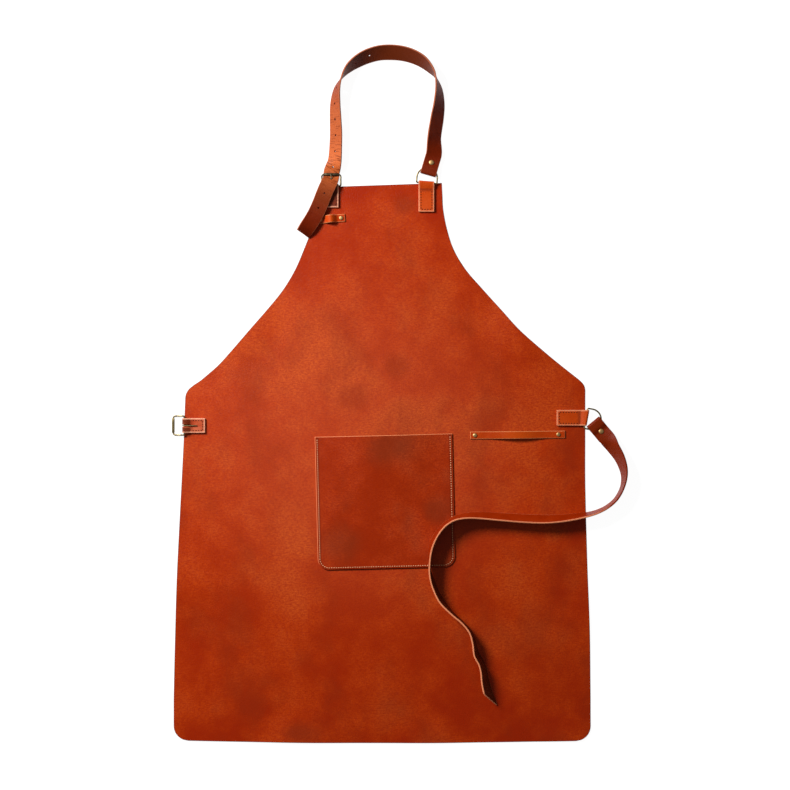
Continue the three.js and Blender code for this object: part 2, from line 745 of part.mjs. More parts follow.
// Rivets: a domed cap on a post, with or without a wider foot below
function rivet(place, capRadius, capSeat, dome, foot, footRadius) {
  const profile = [
    new THREE.Vector2(0, foot),
    new THREE.Vector2(footRadius, foot),
    new THREE.Vector2(footRadius, foot + FOOT_THICK),
  ];
  if (footRadius > POST_RADIUS) {
    profile.push(new THREE.Vector2(POST_RADIUS, foot + FOOT_THICK));
  }
  profile.push(new THREE.Vector2(POST_RADIUS, capSeat));
  for (const row of DOME) {
    profile.push(new THREE.Vector2(capRadius * row.share, capSeat + dome * row.rise));
  }
  profile.push(new THREE.Vector2(0, capSeat + dome));
  const geometry = new THREE.LatheGeometry(profile, 14);
  geometry.rotateX(Math.PI / 2);
  geometry.translate(place.x, place.y, 0);
  return geometry;
}

// A riveted strip that bows up off the apron between its rivets
function rivetPlaces(spec) {
  return [spec.left, spec.right].map((far) => new THREE.Vector2(
    spec.x + far * Math.cos(radians(spec.turn)),
    spec.y + far * Math.sin(radians(spec.turn))));
}

function bowedStrip(spec) {
  const half = spec.length / 2;
  const points = [new THREE.Vector2(-half, TAB_LOWER)];
  for (let step = 0; step <= BOW_STEPS; step += 1) {
    const share = (2 * step) / BOW_STEPS - 1;
    const rise = spec.rise * Math.cos((share * Math.PI) / 2) ** 2;
    points.push(new THREE.Vector2(share * spec.bow, TAB_LOWER + rise));
  }
  points.push(new THREE.Vector2(half, TAB_LOWER));
  const geometry = strip(points, TAB_THICK, spec.width);
  geometry.rotateZ(radians(spec.turn));
  geometry.translate(spec.x, spec.y, 0);
  return cut(geometry, rivetPlaces(spec).map(postCutter));
}

// Finishes
const finishes = {
  body: { color: 0xa9481c, roughness: 0.55, metalness: 0 },
  pocket: { color: 0x94401d, roughness: 0.58, metalness: 0 },
  strap: { color: 0x8a3a17, roughness: 0.5, metalness: 0 },
  tab: { color: 0xc25a22, roughness: 0.5, metalness: 0 },
  brass: { color: 0x9a8150, roughness: 0.35, metalness: 1 },
  bronze: { color: 0x4a3d2c, roughness: 0.4, metalness: 1 },
};

const apron = new THREE.Group();
apron.name = 'leather_apron';

function add(name, geometry, finish) {
  const flat = geometry.index ? geometry.toNonIndexed() : geometry;
  flat.computeVertexNormals();
  const mesh = new THREE.Mesh(flat, new THREE.MeshStandardMaterial(finish));
  mesh.name = name;
  apron.add(mesh);
}

// Sheets and strips
const stripPosts = [...rivetPlaces(TOOL_STRAP), ...rivetPlaces(KEEPER)];
add('apron_body', apronBody(stripPosts), finishes.body);
add('pocket', pocket(), finishes.pocket);
add('tool_strap', bowedStrip(TOOL_STRAP), finishes.tab);
add('strap_keeper', bowedStrip(KEEPER), finishes.tab);

// Tabs with their rings and buckles
add('neck_ring_tab', tab(NECK_RING, RING_WIRE, RING_TAB_WIDTH, 0), finishes.tab);
add('waist_ring_tab', tab(WAIST_RING, RING_WIRE, RING_TAB_WIDTH, 0), finishes.tab);
add('neck_buckle_tab', tab(NECK_BUCKLE, FRAME_WIRE, BUCKLE_TAB_WIDTH, SLOT_HALF), finishes.tab);
add('waist_buckle_tab', tab(WAIST_BUCKLE, FRAME_WIRE, BUCKLE_TAB_WIDTH, SLOT_HALF), finishes.tab);
add('neck_d_ring', dRing(NECK_RING), finishes.brass);
add('waist_d_ring', dRing(WAIST_RING), finishes.brass);
add('neck_buckle_frame', buckleFrame(NECK_BUCKLE, NECK_FRAME_TILT), finishes.bronze);
add('neck_buckle_prong', prong(NECK_BUCKLE, 1), finishes.bronze);
add('waist_buckle_frame', buckleFrame(WAIST_BUCKLE, WAIST_FRAME_TILT), finishes.brass);
add('waist_buckle_prong', prong(WAIST_BUCKLE, -1), finishes.brass);

// Straps
const neckRivet = foldRivetPlace(NECK_RING, NECK_PULL);
const neckStations = measured(runStations(NECK_RING, NECK_PULL, NECK_RUN, NECK_STEPS));
const tongueTop = BUCKLE_HEIGHT + FRAME_WIRE + GAP + PRONG_WIRE;
const tongueCut = bar(
  new THREE.Vector3(NECK_BUCKLE.x, NECK_BUCKLE.y + TONGUE_FROM, tongueTop),
  new THREE.Vector3(NECK_BUCKLE.x, NECK_BUCKLE.y + TONGUE_TO, tongueTop - PRONG_DROP / 2),
  PRONG_WIRE + TONGUE_ROOM, 10);
const tongueHole = lengthAt(neckStations, NECK_BUCKLE.y + TONGUE_HOLE);
const neckHoles = [];
for (let step = -NECK_HOLES_BEFORE; step <= NECK_HOLES_AFTER; step += 1) {
  if (step !== 0) {
    neckHoles.push(tongueHole + step * NECK_HOLE_SPACING);
  }
}
add('neck_strap', cut(band(neckStations, 0), [
  ...holeCutters(neckStations, neckHoles),
  postCutter(neckRivet),
  tongueCut,
]), finishes.strap);

const waistRivet = foldRivetPlace(WAIST_RING, WAIST_PULL);
const waistStations = measured(runStations(WAIST_RING, WAIST_PULL, WAIST_RUN, WAIST_STEPS));
const waistTip = waistStations[waistStations.length - 1].length;
const waistHoles = [];
for (let step = 0; step < WAIST_HOLE_COUNT; step += 1) {
  waistHoles.push(waistTip - WAIST_HOLE_FROM_TIP - step * WAIST_HOLE_SPACING);
}
add('waist_strap', cut(band(waistStations, WAIST_TIP_CUT), [
  ...holeCutters(waistStations, waistHoles),
  postCutter(waistRivet),
]), finishes.strap);

// Rivets
const foldLower = RING_HEIGHT - RING_WIRE - GAP - STRAP_THICK;
const foldTop = foldLower + 2 * STRAP_THICK + GAP;
const foldSeat = foldTop + CAP_GAP;
const foldFoot = foldLower - FOOT_THICK - CAP_GAP;
const strapRivet = (place) => rivet(place, STRAP_CAP, foldSeat, STRAP_CAP_DOME, foldFoot, STRAP_FOOT);
add('neck_strap_rivet', strapRivet(neckRivet), finishes.brass);
add('waist_strap_rivet', strapRivet(waistRivet), finishes.brass);
const stripSeat = BODY_THICK + GAP + TAB_THICK + CAP_GAP;
const stripRivets = ['tool_rivet_left', 'tool_rivet_right', 'keeper_rivet_left', 'keeper_rivet_right'];
stripRivets.forEach((name, index) => {
  const shape = rivet(stripPosts[index], STRIP_CAP, stripSeat, STRIP_CAP_DOME, CAP_GAP, POST_RADIUS);
  add(name, shape, finishes.brass);
});

// Move the middle of the whole box over the origin, with the underside at zero
const box = new THREE.Box3().setFromObject(apron);
const middle = box.getCenter(new THREE.Vector3());
for (const mesh of apron.children) {
  mesh.geometry.translate(-middle.x, -middle.y, -box.min.z);
}

export default apron;
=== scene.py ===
"""Looks of a leather bib apron laid flat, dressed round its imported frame."""
import logging
import math
from dataclasses import dataclass
from enum import Enum
from typing import Callable, NamedTuple

import bpy
import numpy as np
from mathutils import Matrix, Vector


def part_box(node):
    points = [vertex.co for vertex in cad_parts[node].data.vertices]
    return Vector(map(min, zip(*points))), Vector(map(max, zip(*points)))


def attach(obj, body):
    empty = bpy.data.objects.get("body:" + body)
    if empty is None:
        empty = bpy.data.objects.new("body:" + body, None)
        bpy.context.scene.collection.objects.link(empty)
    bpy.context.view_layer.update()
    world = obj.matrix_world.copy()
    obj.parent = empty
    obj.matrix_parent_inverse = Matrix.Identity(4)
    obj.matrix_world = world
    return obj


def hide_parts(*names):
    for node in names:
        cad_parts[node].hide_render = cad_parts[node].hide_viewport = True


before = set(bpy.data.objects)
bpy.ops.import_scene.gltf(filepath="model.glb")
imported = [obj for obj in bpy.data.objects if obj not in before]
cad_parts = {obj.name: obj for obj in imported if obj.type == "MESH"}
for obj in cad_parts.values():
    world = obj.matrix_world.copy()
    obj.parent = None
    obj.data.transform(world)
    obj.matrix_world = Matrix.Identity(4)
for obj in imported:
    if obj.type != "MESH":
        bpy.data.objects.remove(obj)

LOG = logging.getLogger("apron")
MM = 0.001
RGB = tuple[float, float, float]
Row = tuple[float, float, float, float]
Span = tuple[float, float]
XYZ = tuple[float, float, float]


class Body(Enum):
    """Bodies of the frame that a piece can ride on."""

    APRON = "apron"
    WAIST_BUCKLE = "waist_buckle"
    WAIST_PRONG = "waist_prong"


class Slot(Enum):
    """Material slots of the record."""

    BODY = "body_leather"
    POCKET = "pocket_leather"
    STRAP = "strap_leather"
    TAB = "tab_leather"
    BRASS = "aged_brass"
    BRONZE = "dark_bronze"


class Held(Enum):
    """How a sheet of leather is held."""

    LAID = "laid"
    FOLDED = "folded"


# Fineness of the meshes, with lengths in millimetres
SHORTEST = 1e-12
CLOSEST_KNOTS = 1e-4
SMALL_SHARE = 1e-4
MIDDLE = 0.5
EDGE_ROWS = (1.5, 3.2)
EDGE_CLEAR = 1.4
EDGE_BAND = 4.5
CORNER_STEPS = 8
WIRE_CORNER_STEPS = 6
SEAM_PROBE = 0.5
WIRE_WELD = 0.02
RIVET_WELD = 0.005
SMOOTH_ANGLE = math.radians(50)

# Straight up
UP = Vector((0, 0, 1))

# Leather and metal sizes in millimetres, as in the solids
GAP = 0.3
BODY_THICK = 2.0
POCKET_THICK = 1.8
TAB_THICK = 1.6
STRAP_THICK = 2.4
STRAP_WIDTH = 24.0
RING_TAB_WIDTH = 23.5
BUCKLE_TAB_WIDTH = 22.0
CREASE_LENGTH = 10.0
LOOP_TURN = 115.0
RING_WIRE = 1.2
RING_RADIUS = 15.3
RING_LEG = 7.5
RING_CORNER = 2.0
FRAME_WIRE = 1.25
FRAME_HALF_WIDTH = 14.25
FRAME_DEPTH = 17.5
FRAME_CORNER = 4.0
FRAME_BAR_HALF_WIDTH = 2.1
FRAME_BAR_HALF_HEIGHT = 1.5
PRONG_WIRE = 0.8
PRONG_LENGTH = 19.5
PRONG_DROP = 0.85
EYE_START = -40.0
EYE_END = -270.0
SLOT_CLEAR = 0.7
SLOT_HALF = PRONG_WIRE + SLOT_CLEAR
POST_RADIUS = 1.4
CAP_GAP = 0.2
FOOT_THICK = 0.8
TAB_LOWER = BODY_THICK + GAP + TAB_THICK / 2
TAB_UPPER = TAB_LOWER + TAB_THICK + GAP
RING_HEIGHT = TAB_LOWER + RING_WIRE + GAP + TAB_THICK / 2
BUCKLE_HEIGHT = TAB_LOWER + FRAME_WIRE + GAP + TAB_THICK / 2


@dataclass(frozen=True)
class Seat:
    """Where a tab's bar lies, which way its loop points, and the tab's own sizes in millimetres."""

    x: float
    y: float
    turn: float
    skew: float
    shift: float
    length: float


NECK_RING = Seat(66.2, 838.5, 90, -4, 0.4, 43)
NECK_BUCKLE = Seat(-76.7, 834, 90, 0, 0, 32)
WAIST_RING = Seat(304.5, 486.3, 0, -10, 0.8, 43.5)
WAIST_BUCKLE = Seat(-296.5, 475.5, 180, 0, 0, 31)
NECK_FRAME_TILT = 3.3
WAIST_FRAME_TILT = 12.0


def layout_origin() -> Vector:
    """Finds where the layout's origin lies in the frame, from two solids.

    Returns:
        The shift from layout places to frame places, in metres.
    """
    low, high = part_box("neck_buckle_prong")
    across = (low.x + high.x) / 2 - NECK_BUCKLE.x * MM
    low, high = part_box("waist_buckle_prong")
    along = (low.y + high.y) / 2 - WAIST_BUCKLE.y * MM
    return Vector((across, along, 0))


ORIGIN = layout_origin()


# Curves and grids

def curve_points(rows: np.ndarray, shares: np.ndarray) -> np.ndarray:
    """Follows a centripetal curve through rows of numbers.

    Args:
        rows: The knots, one row each.
        shares: Places along the curve, from 0 at its first knot to 1 at its last.

    Returns:
        One row of numbers for each share.
    """
    knots = np.asarray(rows, float)
    last = len(knots) - 1
    before = 2 * knots[0] - knots[1]
    after = 2 * knots[-1] - knots[-2]
    padded = np.vstack([before, knots, after])
    result = []
    for share in shares:
        index = min(int(share * last), last - 1)
        weight = share * last - index
        x0, x1, x2, x3 = padded[index:index + 4]
        gaps = [max(np.linalg.norm(b - a) ** 0.5, CLOSEST_KNOTS) for a, b in ((x0, x1), (x1, x2), (x2, x3))]
        t1 = ((x1 - x0) / gaps[0] - (x2 - x0) / (gaps[0] + gaps[1]) + (x2 - x1) / gaps[1]) * gaps[1]
        t2 = ((x2 - x1) / gaps[1] - (x3 - x1) / (gaps[1] + gaps[2]) + (x3 - x2) / gaps[2]) * gaps[1]
        square = -3 * x1 + 3 * x2 - 2 * t1 - t2
        cube = 2 * x1 - 2 * x2 + t1 + t2
        result.append(x1 + t1 * weight + square * weight ** 2 + cube * weight ** 3)
    return np.array(result)


def arc(centre: tuple[float, float], radius: float, start: float, end: float, steps: int) -> np.ndarray:
    """Points along a flat arc.

    Args:
        centre: Middle of the arc.
        radius: Its radius.
        start: First angle in degrees.
        end: Last angle in degrees.
        steps: Number of steps between them.

    Returns:
        Points as rows of two numbers.
    """
    angles = np.radians(np.linspace(start, end, steps + 1))
    return np.column_stack([centre[0] + radius * np.cos(angles), centre[1] + radius * np.sin(angles)])


def unit(rows: np.ndarray) -> np.ndarray:
    """Scales vectors along the last axis to unit length."""
    return rows / np.maximum(np.linalg.norm(rows, axis=-1, keepdims=True), SHORTEST)


def heading(degrees: float) -> np.ndarray:
    """Flat unit direction at an angle from X."""
    angle = math.radians(degrees)
    return np.array([math.cos(angle), math.sin(angle), 0.0])


def turned(points: np.ndarray, degrees: float) -> np.ndarray:
    """Turns points about the vertical axis."""
    angle = math.radians(degrees)
    cos = math.cos(angle)
    sin = math.sin(angle)
    spin = np.array([[cos, -sin, 0], [sin, cos, 0], [0, 0, 1]])
    return points @ spin.T


def spaced(low: float, high: float, step: float) -> np.ndarray:
    """Evenly spaced values from low to high, about a step apart."""
    return np.linspace(low, high, max(2, round((high - low) / step) + 1))


def smooth(share: np.ndarray) -> np.ndarray:
    """Eases shares in at 0 and out at 1."""
    return share * share * (3 - 2 * share)


def lengths_along(points: np.ndarray) -> np.ndarray:
    """Length of a line from its first point to each of its points."""
    steps = np.linalg.norm(np.diff(points, axis=0), axis=1)
    return np.concatenate([[0], np.cumsum(steps)])


def points_at(wanted: np.ndarray | float, lengths: np.ndarray, points: np.ndarray) -> np.ndarray:
    """Points of a line at wanted lengths along it.

    Args:
        wanted: One length or several.
        lengths: Length of the line at each of its points.
        points: The points of the line.

    Returns:
        One point for each wanted length.
    """
    return np.stack([np.interp(wanted, lengths, points[:, axis]) for axis in range(3)], axis=-1)


def profile_grid(line: np.ndarray, side: np.ndarray) -> tuple[np.ndarray, np.ndarray]:
    """Draws a profile out sideways into a grid of points.

    Args:
        line: Places along the profile and its heights.
        side: Places across.

    Returns:
        The grid of points, and the flat lengths along and across at each of them.
    """
    grid = np.zeros((len(side), len(line), 3))
    grid[..., 0] = line[None, :, 0]
    grid[..., 1] = side[:, None]
    grid[..., 2] = line[None, :, 1]
    flat = np.broadcast_arrays(lengths_along(line)[None, :], side[:, None])
    return grid, np.stack(flat, axis=-1)


def linked(name: str, data: bpy.types.ID) -> bpy.types.Object:
    """Makes an object of some data and links it to the scene."""
    made = bpy.data.objects.new(name, data)
    bpy.context.scene.collection.objects.link(made)
    return made


@dataclass
class LeatherSheet:
    """A closed sheet of leather with rounded cut edges, from a grid of points on its middle surface.

    The first grid index runs across, the second along, and along x across is the grain side.
    """

    name: str
    middle: np.ndarray
    lengths: np.ndarray
    thickness: float
    # Mask of painted light and shade, one share for each grid point
    pull: np.ndarray | None = None
    edge_radius: float = 0.55
    edge_steps: int = 2
    rim_reach: int = 1
    rim_inside: float = 0.7
    rim_share: np.ndarray | None = None

    def normals(self) -> np.ndarray:
        """Unit directions out of the grain side at each grid point."""
        along = np.gradient(self.middle, axis=1)
        across = np.gradient(self.middle, axis=0)
        return unit(np.cross(along, across))

    def border(self) -> list[tuple[int, int]]:
        """Grid places round the sheet's border, turning left seen from the grain side."""
        rows, columns = self.middle.shape[:2]
        low = [(0, column) for column in range(columns)]
        right = [(row, columns - 1) for row in range(1, rows)]
        high = [(rows - 1, column) for column in range(columns - 2, -1, -1)]
        left = [(row, 0) for row in range(rows - 2, 0, -1)]
        return low + right + high + left

    def build(self) -> bpy.types.Object:
        """Makes the closed mesh with its UV map and its rim, under and pull attributes.

        Returns:
            The new object, at the origin, with its place in its mesh.
        """
        rows, columns = self.middle.shape[:2]
        normal = self.normals()
        loop = self.border()
        places = np.array([self.middle[place] for place in loop])
        up = np.array([normal[place] for place in loop])
        run = unit(np.roll(places, -1, axis=0) - places)
        run = unit(run + np.roll(run, 1, axis=0))
        out = unit(np.cross(run, up))
        half = self.thickness / 2
        upper = self.middle + normal * half
        lower = self.middle - normal * half
        for index, place in enumerate(loop):
            upper[place] -= out[index] * self.edge_radius
            lower[place] -= out[index] * self.edge_radius
        count = rows * columns
        verts = [upper.reshape(-1, 3), lower.reshape(-1, 3)]
        angles = np.linspace(90, 0, self.edge_steps + 1)[1:]
        profile = [(angle, 1) for angle in angles] + [(-angle, -1) for angle in angles[::-1]]
        for angle, side in profile:
            turn = math.radians(angle)
            reach = self.edge_radius * (math.cos(turn) - 1)
            rise = side * (half - self.edge_radius) + self.edge_radius * math.sin(turn)
            verts.append(places + out * reach + up * rise)
        verts = np.vstack(verts) * MM + np.array(ORIGIN)
        faces = self._faces(loop, len(profile))
        mesh = bpy.data.meshes.new(self.name)
        mesh.from_pydata(verts.tolist(), [], faces)
        self._attributes(mesh, loop, len(profile), count)
        mesh.shade_smooth()
        return linked(self.name, mesh)

    def _faces(self, loop: list[tuple[int, int]], rings: int) -> list[tuple[int, ...]]:
        """Lists the quads of both sides and of the rounded edge.

        Args:
            loop: Grid places round the border.
            rings: Number of point rings between the two sides.

        Returns:
            Vertex indices of each quad.
        """
        rows, columns = self.middle.shape[:2]
        count = rows * columns
        faces = []
        for row in range(rows - 1):
            for column in range(columns - 1):
                a = row * columns + column
                b = a + columns
                faces.append((a, a + 1, b + 1, b))
                faces.append((count + a, count + b, count + b + 1, count + a + 1))
        flat = [row * columns + column for row, column in loop]
        size = len(loop)
        chain = [flat]
        for ring in range(rings):
            first = 2 * count + ring * size
            chain.append(list(range(first, first + size)))
        chain.append([count + index for index in flat])
        for high, low in zip(chain, chain[1:]):
            for index in range(size):
                after = (index + 1) % size
                faces.append((high[index], low[index], low[after], high[after]))
        return faces

    def _attributes(self, mesh: bpy.types.Mesh, loop: list[tuple[int, int]], rings: int, count: int) -> None:
        """Writes the UV map in metres and the masks that the leather finishes read.

        Args:
            mesh: The new mesh.
            loop: Grid places round the border.
            rings: Number of point rings between the two sides.
            count: Number of points on one side.
        """
        flat = [row * self.middle.shape[1] + column for row, column in loop]
        uv_side = self.lengths.reshape(-1, 2) * MM
        uv = np.vstack([uv_side, uv_side] + [uv_side[flat]] * rings)
        rim_side = np.full(self.middle.shape[:2], self.rim_inside)
        rim_side[self.rim_reach:-self.rim_reach, self.rim_reach:-self.rim_reach] = 0
        share = np.ones(count) if self.rim_share is None else self.rim_share.ravel()
        rim_side = rim_side.ravel() * share
        rim = np.concatenate([rim_side, rim_side] + [share[flat]] * rings)
        steps = np.linspace(0, 1, rings + 2)[1:-1]
        under = np.concatenate([np.zeros(count), np.ones(count)] + [np.full(len(loop), s) for s in steps])
        # The pull mask carries painted light and shade on most pieces
        pull_side = np.zeros(count) if self.pull is None else self.pull.reshape(-1)
        pull = np.concatenate([pull_side, pull_side] + [pull_side[flat]] * rings)
        for name, values in (("rim", rim), ("under", under), ("pull", pull)):
            mesh.attributes.new(name, "FLOAT", "POINT").data.foreach_set("value", values.astype(np.float32))
        layer = mesh.uv_layers.new(name="UVMap")
        corner = np.zeros(len(mesh.loops), np.int32)
        mesh.loops.foreach_get("vertex_index", corner)
        layer.data.foreach_set("uv", uv[corner].astype(np.float32).ravel())


def select_only(piece: bpy.types.Object) -> None:
    """Deselects everything and makes one piece the selected and active one."""
    bpy.ops.object.select_all(action="DESELECT")
    piece.select_set(True)
    bpy.context.view_layer.objects.active = piece


def cut_with(piece: bpy.types.Object, cutters: list[bpy.types.Object]) -> None:
    """Takes cutters out of a piece and removes them.

    Args:
        piece: The closed piece to cut.
        cutters: Closed meshes that mark what is cut away.
    """
    for cutter in cutters:
        tool = piece.modifiers.new("cut", "BOOLEAN")
        tool.operation = "DIFFERENCE"
        tool.solver = "EXACT"
        tool.object = cutter
        select_only(piece)
        bpy.ops.object.modifier_apply(modifier=tool.name)
        bpy.data.objects.remove(cutter)


def round_cutter(start: np.ndarray, end: np.ndarray, radius: float, sides: int = 14) -> bpy.types.Object:
    """Makes a round bar between two layout points, to punch a hole with.

    Args:
        start: One end, in layout millimetres.
        end: The other end.
        radius: Radius of the bar in millimetres.
        sides: Number of sides.

    Returns:
        The cutter.
    """
    run = Vector(end) - Vector(start)
    middle = (Vector(start) + Vector(end)) / 2
    bpy.ops.object.select_all(action="DESELECT")
    bpy.ops.mesh.primitive_cylinder_add(
        vertices=sides, radius=radius * MM, depth=run.length * MM, location=middle * MM + ORIGIN,
        rotation=run.to_track_quat("Z", "Y").to_euler())
    bpy.ops.object.transform_apply(location=True, rotation=True, scale=True)
    return bpy.context.object


def joined(pieces: list[bpy.types.Object], name: str) -> bpy.types.Object:
    """Joins pieces into the first one and names it."""
    bpy.ops.object.select_all(action="DESELECT")
    for piece in pieces:
        piece.select_set(True)
    bpy.context.view_layer.objects.active = pieces[0]
    bpy.ops.object.join()
    pieces[0].name = name
    pieces[0].data.name = name
    return pieces[0]


# Shader nodes

class NodeDesk:
    """Adds nodes to one tree and links them."""

    def __init__(self, tree: bpy.types.NodeTree) -> None:
        """Keeps the tree that nodes are added to."""
        self.tree = tree

    def add(self, kind: str, inputs: dict | None = None, **settings: object) -> bpy.types.Node:
        """Adds a node, sets its options, and fills or links its inputs.

        Args:
            kind: Node type name.
            inputs: Values or output sockets by input name or index.
            **settings: Node properties.

        Returns:
            The new node.
        """
        node = self.tree.nodes.new(kind)
        for key, value in settings.items():
            setattr(node, key, value)
        self.fill(node, inputs or {})
        return node

    def fill(self, node: bpy.types.Node, inputs: dict) -> None:
        """Fills or links a node's inputs by name or index."""
        for key, value in inputs.items():
            if isinstance(value, bpy.types.NodeSocket):
                self.tree.links.new(value, node.inputs[key])
            else:
                node.inputs[key].default_value = value

    def math(self, operation: str, first: object, second: object) -> bpy.types.NodeSocket:
        """Adds a Math node and returns its value."""
        return self.add("ShaderNodeMath", {0: first, 1: second}, operation=operation).outputs[0]

    def weighed(self, first: object, share: float, second: object) -> bpy.types.NodeSocket:
        """Adds up two values, the first by its share and the second by the rest."""
        rest = self.math("MULTIPLY", second, 1 - share)
        return self.math("ADD", self.math("MULTIPLY", first, share), rest)

    def tint(self, factor: object, colour: object, shade: RGB) -> bpy.types.NodeSocket:
        """Mixes a plain shade into a colour and returns the new colour."""
        inputs = {0: factor, 6: colour, 7: (*shade, 1)}
        return self.add("ShaderNodeMix", inputs, data_type="RGBA").outputs[2]

    def spread(self, value: object, low: float, high: float, to_low: float = 0.0,
               to_high: float = 1.0) -> bpy.types.NodeSocket:
        """Adds a smooth Map Range node and returns its value."""
        inputs = {0: value, 1: low, 2: high, 3: to_low, 4: to_high}
        return self.add("ShaderNodeMapRange", inputs, interpolation_type="SMOOTHSTEP").outputs[0]

    def ramp(self, factor: object, low: RGB, middle: RGB, high: RGB) -> bpy.types.NodeSocket:
        """Adds a ramp through three colours and returns its colour."""
        node = self.add("ShaderNodeValToRGB", {0: factor})
        first, last = node.color_ramp.elements
        first.color = (*low, 1)
        last.color = (*high, 1)
        node.color_ramp.elements.new(MIDDLE).color = (*middle, 1)
        return node.outputs[0]

    def vector(self, operation: str, first: object, second: object) -> bpy.types.NodeSocket:
        """Adds a Vector Math node and returns its vector."""
        return self.add("ShaderNodeVectorMath", {0: first, 1: second}, operation=operation).outputs[0]

    def distance(self, first: object, second: object) -> bpy.types.NodeSocket:
        """Adds a Vector Math node and returns how far apart two places are."""
        node = self.add("ShaderNodeVectorMath", {0: first, 1: second}, operation="DISTANCE")
        return node.outputs["Value"]

    def attribute(self, name: str) -> bpy.types.NodeSocket:
        """Adds an Attribute node for a value kept on the mesh and returns it."""
        return self.add("ShaderNodeAttribute", attribute_name=name).outputs["Fac"]


@dataclass(frozen=True)
class Noise:
    """A layer of noise: its scale to the metre, its detail, its roughness and how it is stretched."""

    scale: float
    detail: float
    roughness: float = 0.5
    stretch: XYZ | None = None

    def value(self, desk: NodeDesk, place: object, size: object = 1.0) -> bpy.types.NodeSocket:
        """Adds the layer to a tree.

        Args:
            desk: Desk on the tree.
            place: The coordinates that it is laid over.
            size: What its scale is multiplied by.

        Returns:
            Its value, from 0 to 1.
        """
        return self._node(desk, place, size).outputs[0]

    def offset(self, desk: NodeDesk, place: object, size: object, reach: float) -> bpy.types.NodeSocket:
        """Adds the layer to a tree and returns coordinates that it has pushed about.

        Args:
            desk: Desk on the tree.
            place: The coordinates that it is laid over.
            size: What its scale is multiplied by.
            reach: How far it pushes, in metres.

        Returns:
            The pushed coordinates.
        """
        push = desk.vector("MULTIPLY", self._node(desk, place, size).outputs[1], (reach, reach, reach))
        return desk.vector("ADD", place, push)

    def _node(self, desk: NodeDesk, place: object, size: object) -> bpy.types.Node:
        """Adds the layer's own nodes and returns its texture."""
        if self.stretch:
            place = desk.vector("MULTIPLY", place, self.stretch)
        scale = desk.math("MULTIPLY", size, self.scale)
        return desk.add("ShaderNodeTexNoise", {
            "Vector": place, "Scale": scale, "Detail": self.detail, "Roughness": self.roughness})


# Layers of noise
BROAD = Noise(7.0, 2.0)
CLOUD = Noise(24.0, 5.0, 0.6)
PORE = Noise(380.0, 3.0, 0.65)
FIBRE = Noise(520.0, 2.0, 0.6, (0.35, 1.0, 1.0))
SMUDGE = Noise(11.0, 5.0, 0.6, (1.0, 0.65, 1.0))
WARP = Noise(350.0, 2.0)
FINE_PORE = Noise(1500.0, 2.0, 0.6)
BREAK_UP = Noise(300.0, 3.0, 0.6)
TARNISH = Noise(240.0, 4.0, 0.6)
SCRATCH = Noise(2600.0, 2.0, 0.6)
WRINKLE = Noise(620.0, 3.0, stretch=(1.0, 0.1, 1.0))
TWIST = Noise(2400.0, 2.0)

# How the layers are weighed, and the spans over which they come in
BROAD_SHARE = 0.6
PORE_SHARE = 0.5
PEBBLE_SHARE = 0.75
TARNISH_SHARE = 0.8
TONE_SPAN: Span = (0.36, 0.64)
FLECK_SPAN: Span = (0.34, 0.66)
SMUDGE_SPAN: Span = (0.46, 0.7)
PEBBLE_SPAN: Span = (0.0, 0.22)
PEBBLE_SCALE = 520.0
WARP_REACH = 0.0012
WEAR_SPAN: Span = (0.3, 0.9)
WEAR_PUSH = 0.5
WRINKLE_SPAN: Span = (0.53, 0.64)
# Where the painted sheen comes in, along the painted light
PAINTED_SHEEN_SPAN: Span = (0.4, 0.75)
# Span of tone that the painted light moves through
PAINTED_LIGHT_SPAN: Span = (0.25, 0.75)
FLESH_SPAN: Span = (0.55, 1.0)
# How the flecks break up the painted light and shade
PAINTED_LIGHT_SPREAD = (0.0, 0.8, 0.7, 1.0)


class Group(NamedTuple):
    """A shader node group under construction."""

    tree: bpy.types.NodeTree
    desk: NodeDesk
    place: bpy.types.NodeSocket
    size: bpy.types.NodeSocket
    source: bpy.types.Node
    sink: bpy.types.Node


def new_group(name: str, outputs: list[str], inputs: list[str] | None = None) -> Group:
    """Starts a shader node group with a place, a size and named values.

    Args:
        name: Name of the group.
        outputs: Names of the values that it puts out.
        inputs: Names of further values that it takes in.

    Returns:
        The group with a desk on its tree.
    """
    tree = bpy.data.node_groups.new(name, "ShaderNodeTree")
    tree.interface.new_socket("Vector", in_out="INPUT", socket_type="NodeSocketVector")
    tree.interface.new_socket("Size", in_out="INPUT", socket_type="NodeSocketFloat").default_value = 1.0
    for label in inputs or []:
        tree.interface.new_socket(label, in_out="INPUT", socket_type="NodeSocketFloat")
    for label in outputs:
        tree.interface.new_socket(label, in_out="OUTPUT", socket_type="NodeSocketFloat")
    desk = NodeDesk(tree)
    source = desk.add("NodeGroupInput")
    place = source.outputs["Vector"]
    return Group(tree, desk, place, source.outputs["Size"], source, desk.add("NodeGroupOutput"))


def make_mottle_group() -> bpy.types.NodeTree:
    """Soft patches, cloudy shading, fine flecks and handled smudges of dyed leather.

    Returns:
        A group that puts out a broad tone, a fine fleck mask and a smudge mask, each from 0 to 1.
    """
    tree, desk, place, size, _, sink = new_group("leather_mottle", ["Tone", "Fleck", "Smudge"])
    tone = desk.weighed(BROAD.value(desk, place, size), BROAD_SHARE, CLOUD.value(desk, place, size))
    fleck = desk.weighed(PORE.value(desk, place, size), PORE_SHARE, FIBRE.value(desk, place, size))
    desk.fill(sink, {
        "Tone": desk.spread(tone, *TONE_SPAN),
        "Fleck": desk.spread(fleck, *FLECK_SPAN),
        "Smudge": desk.spread(SMUDGE.value(desk, place, size), *SMUDGE_SPAN),
    })
    return tree


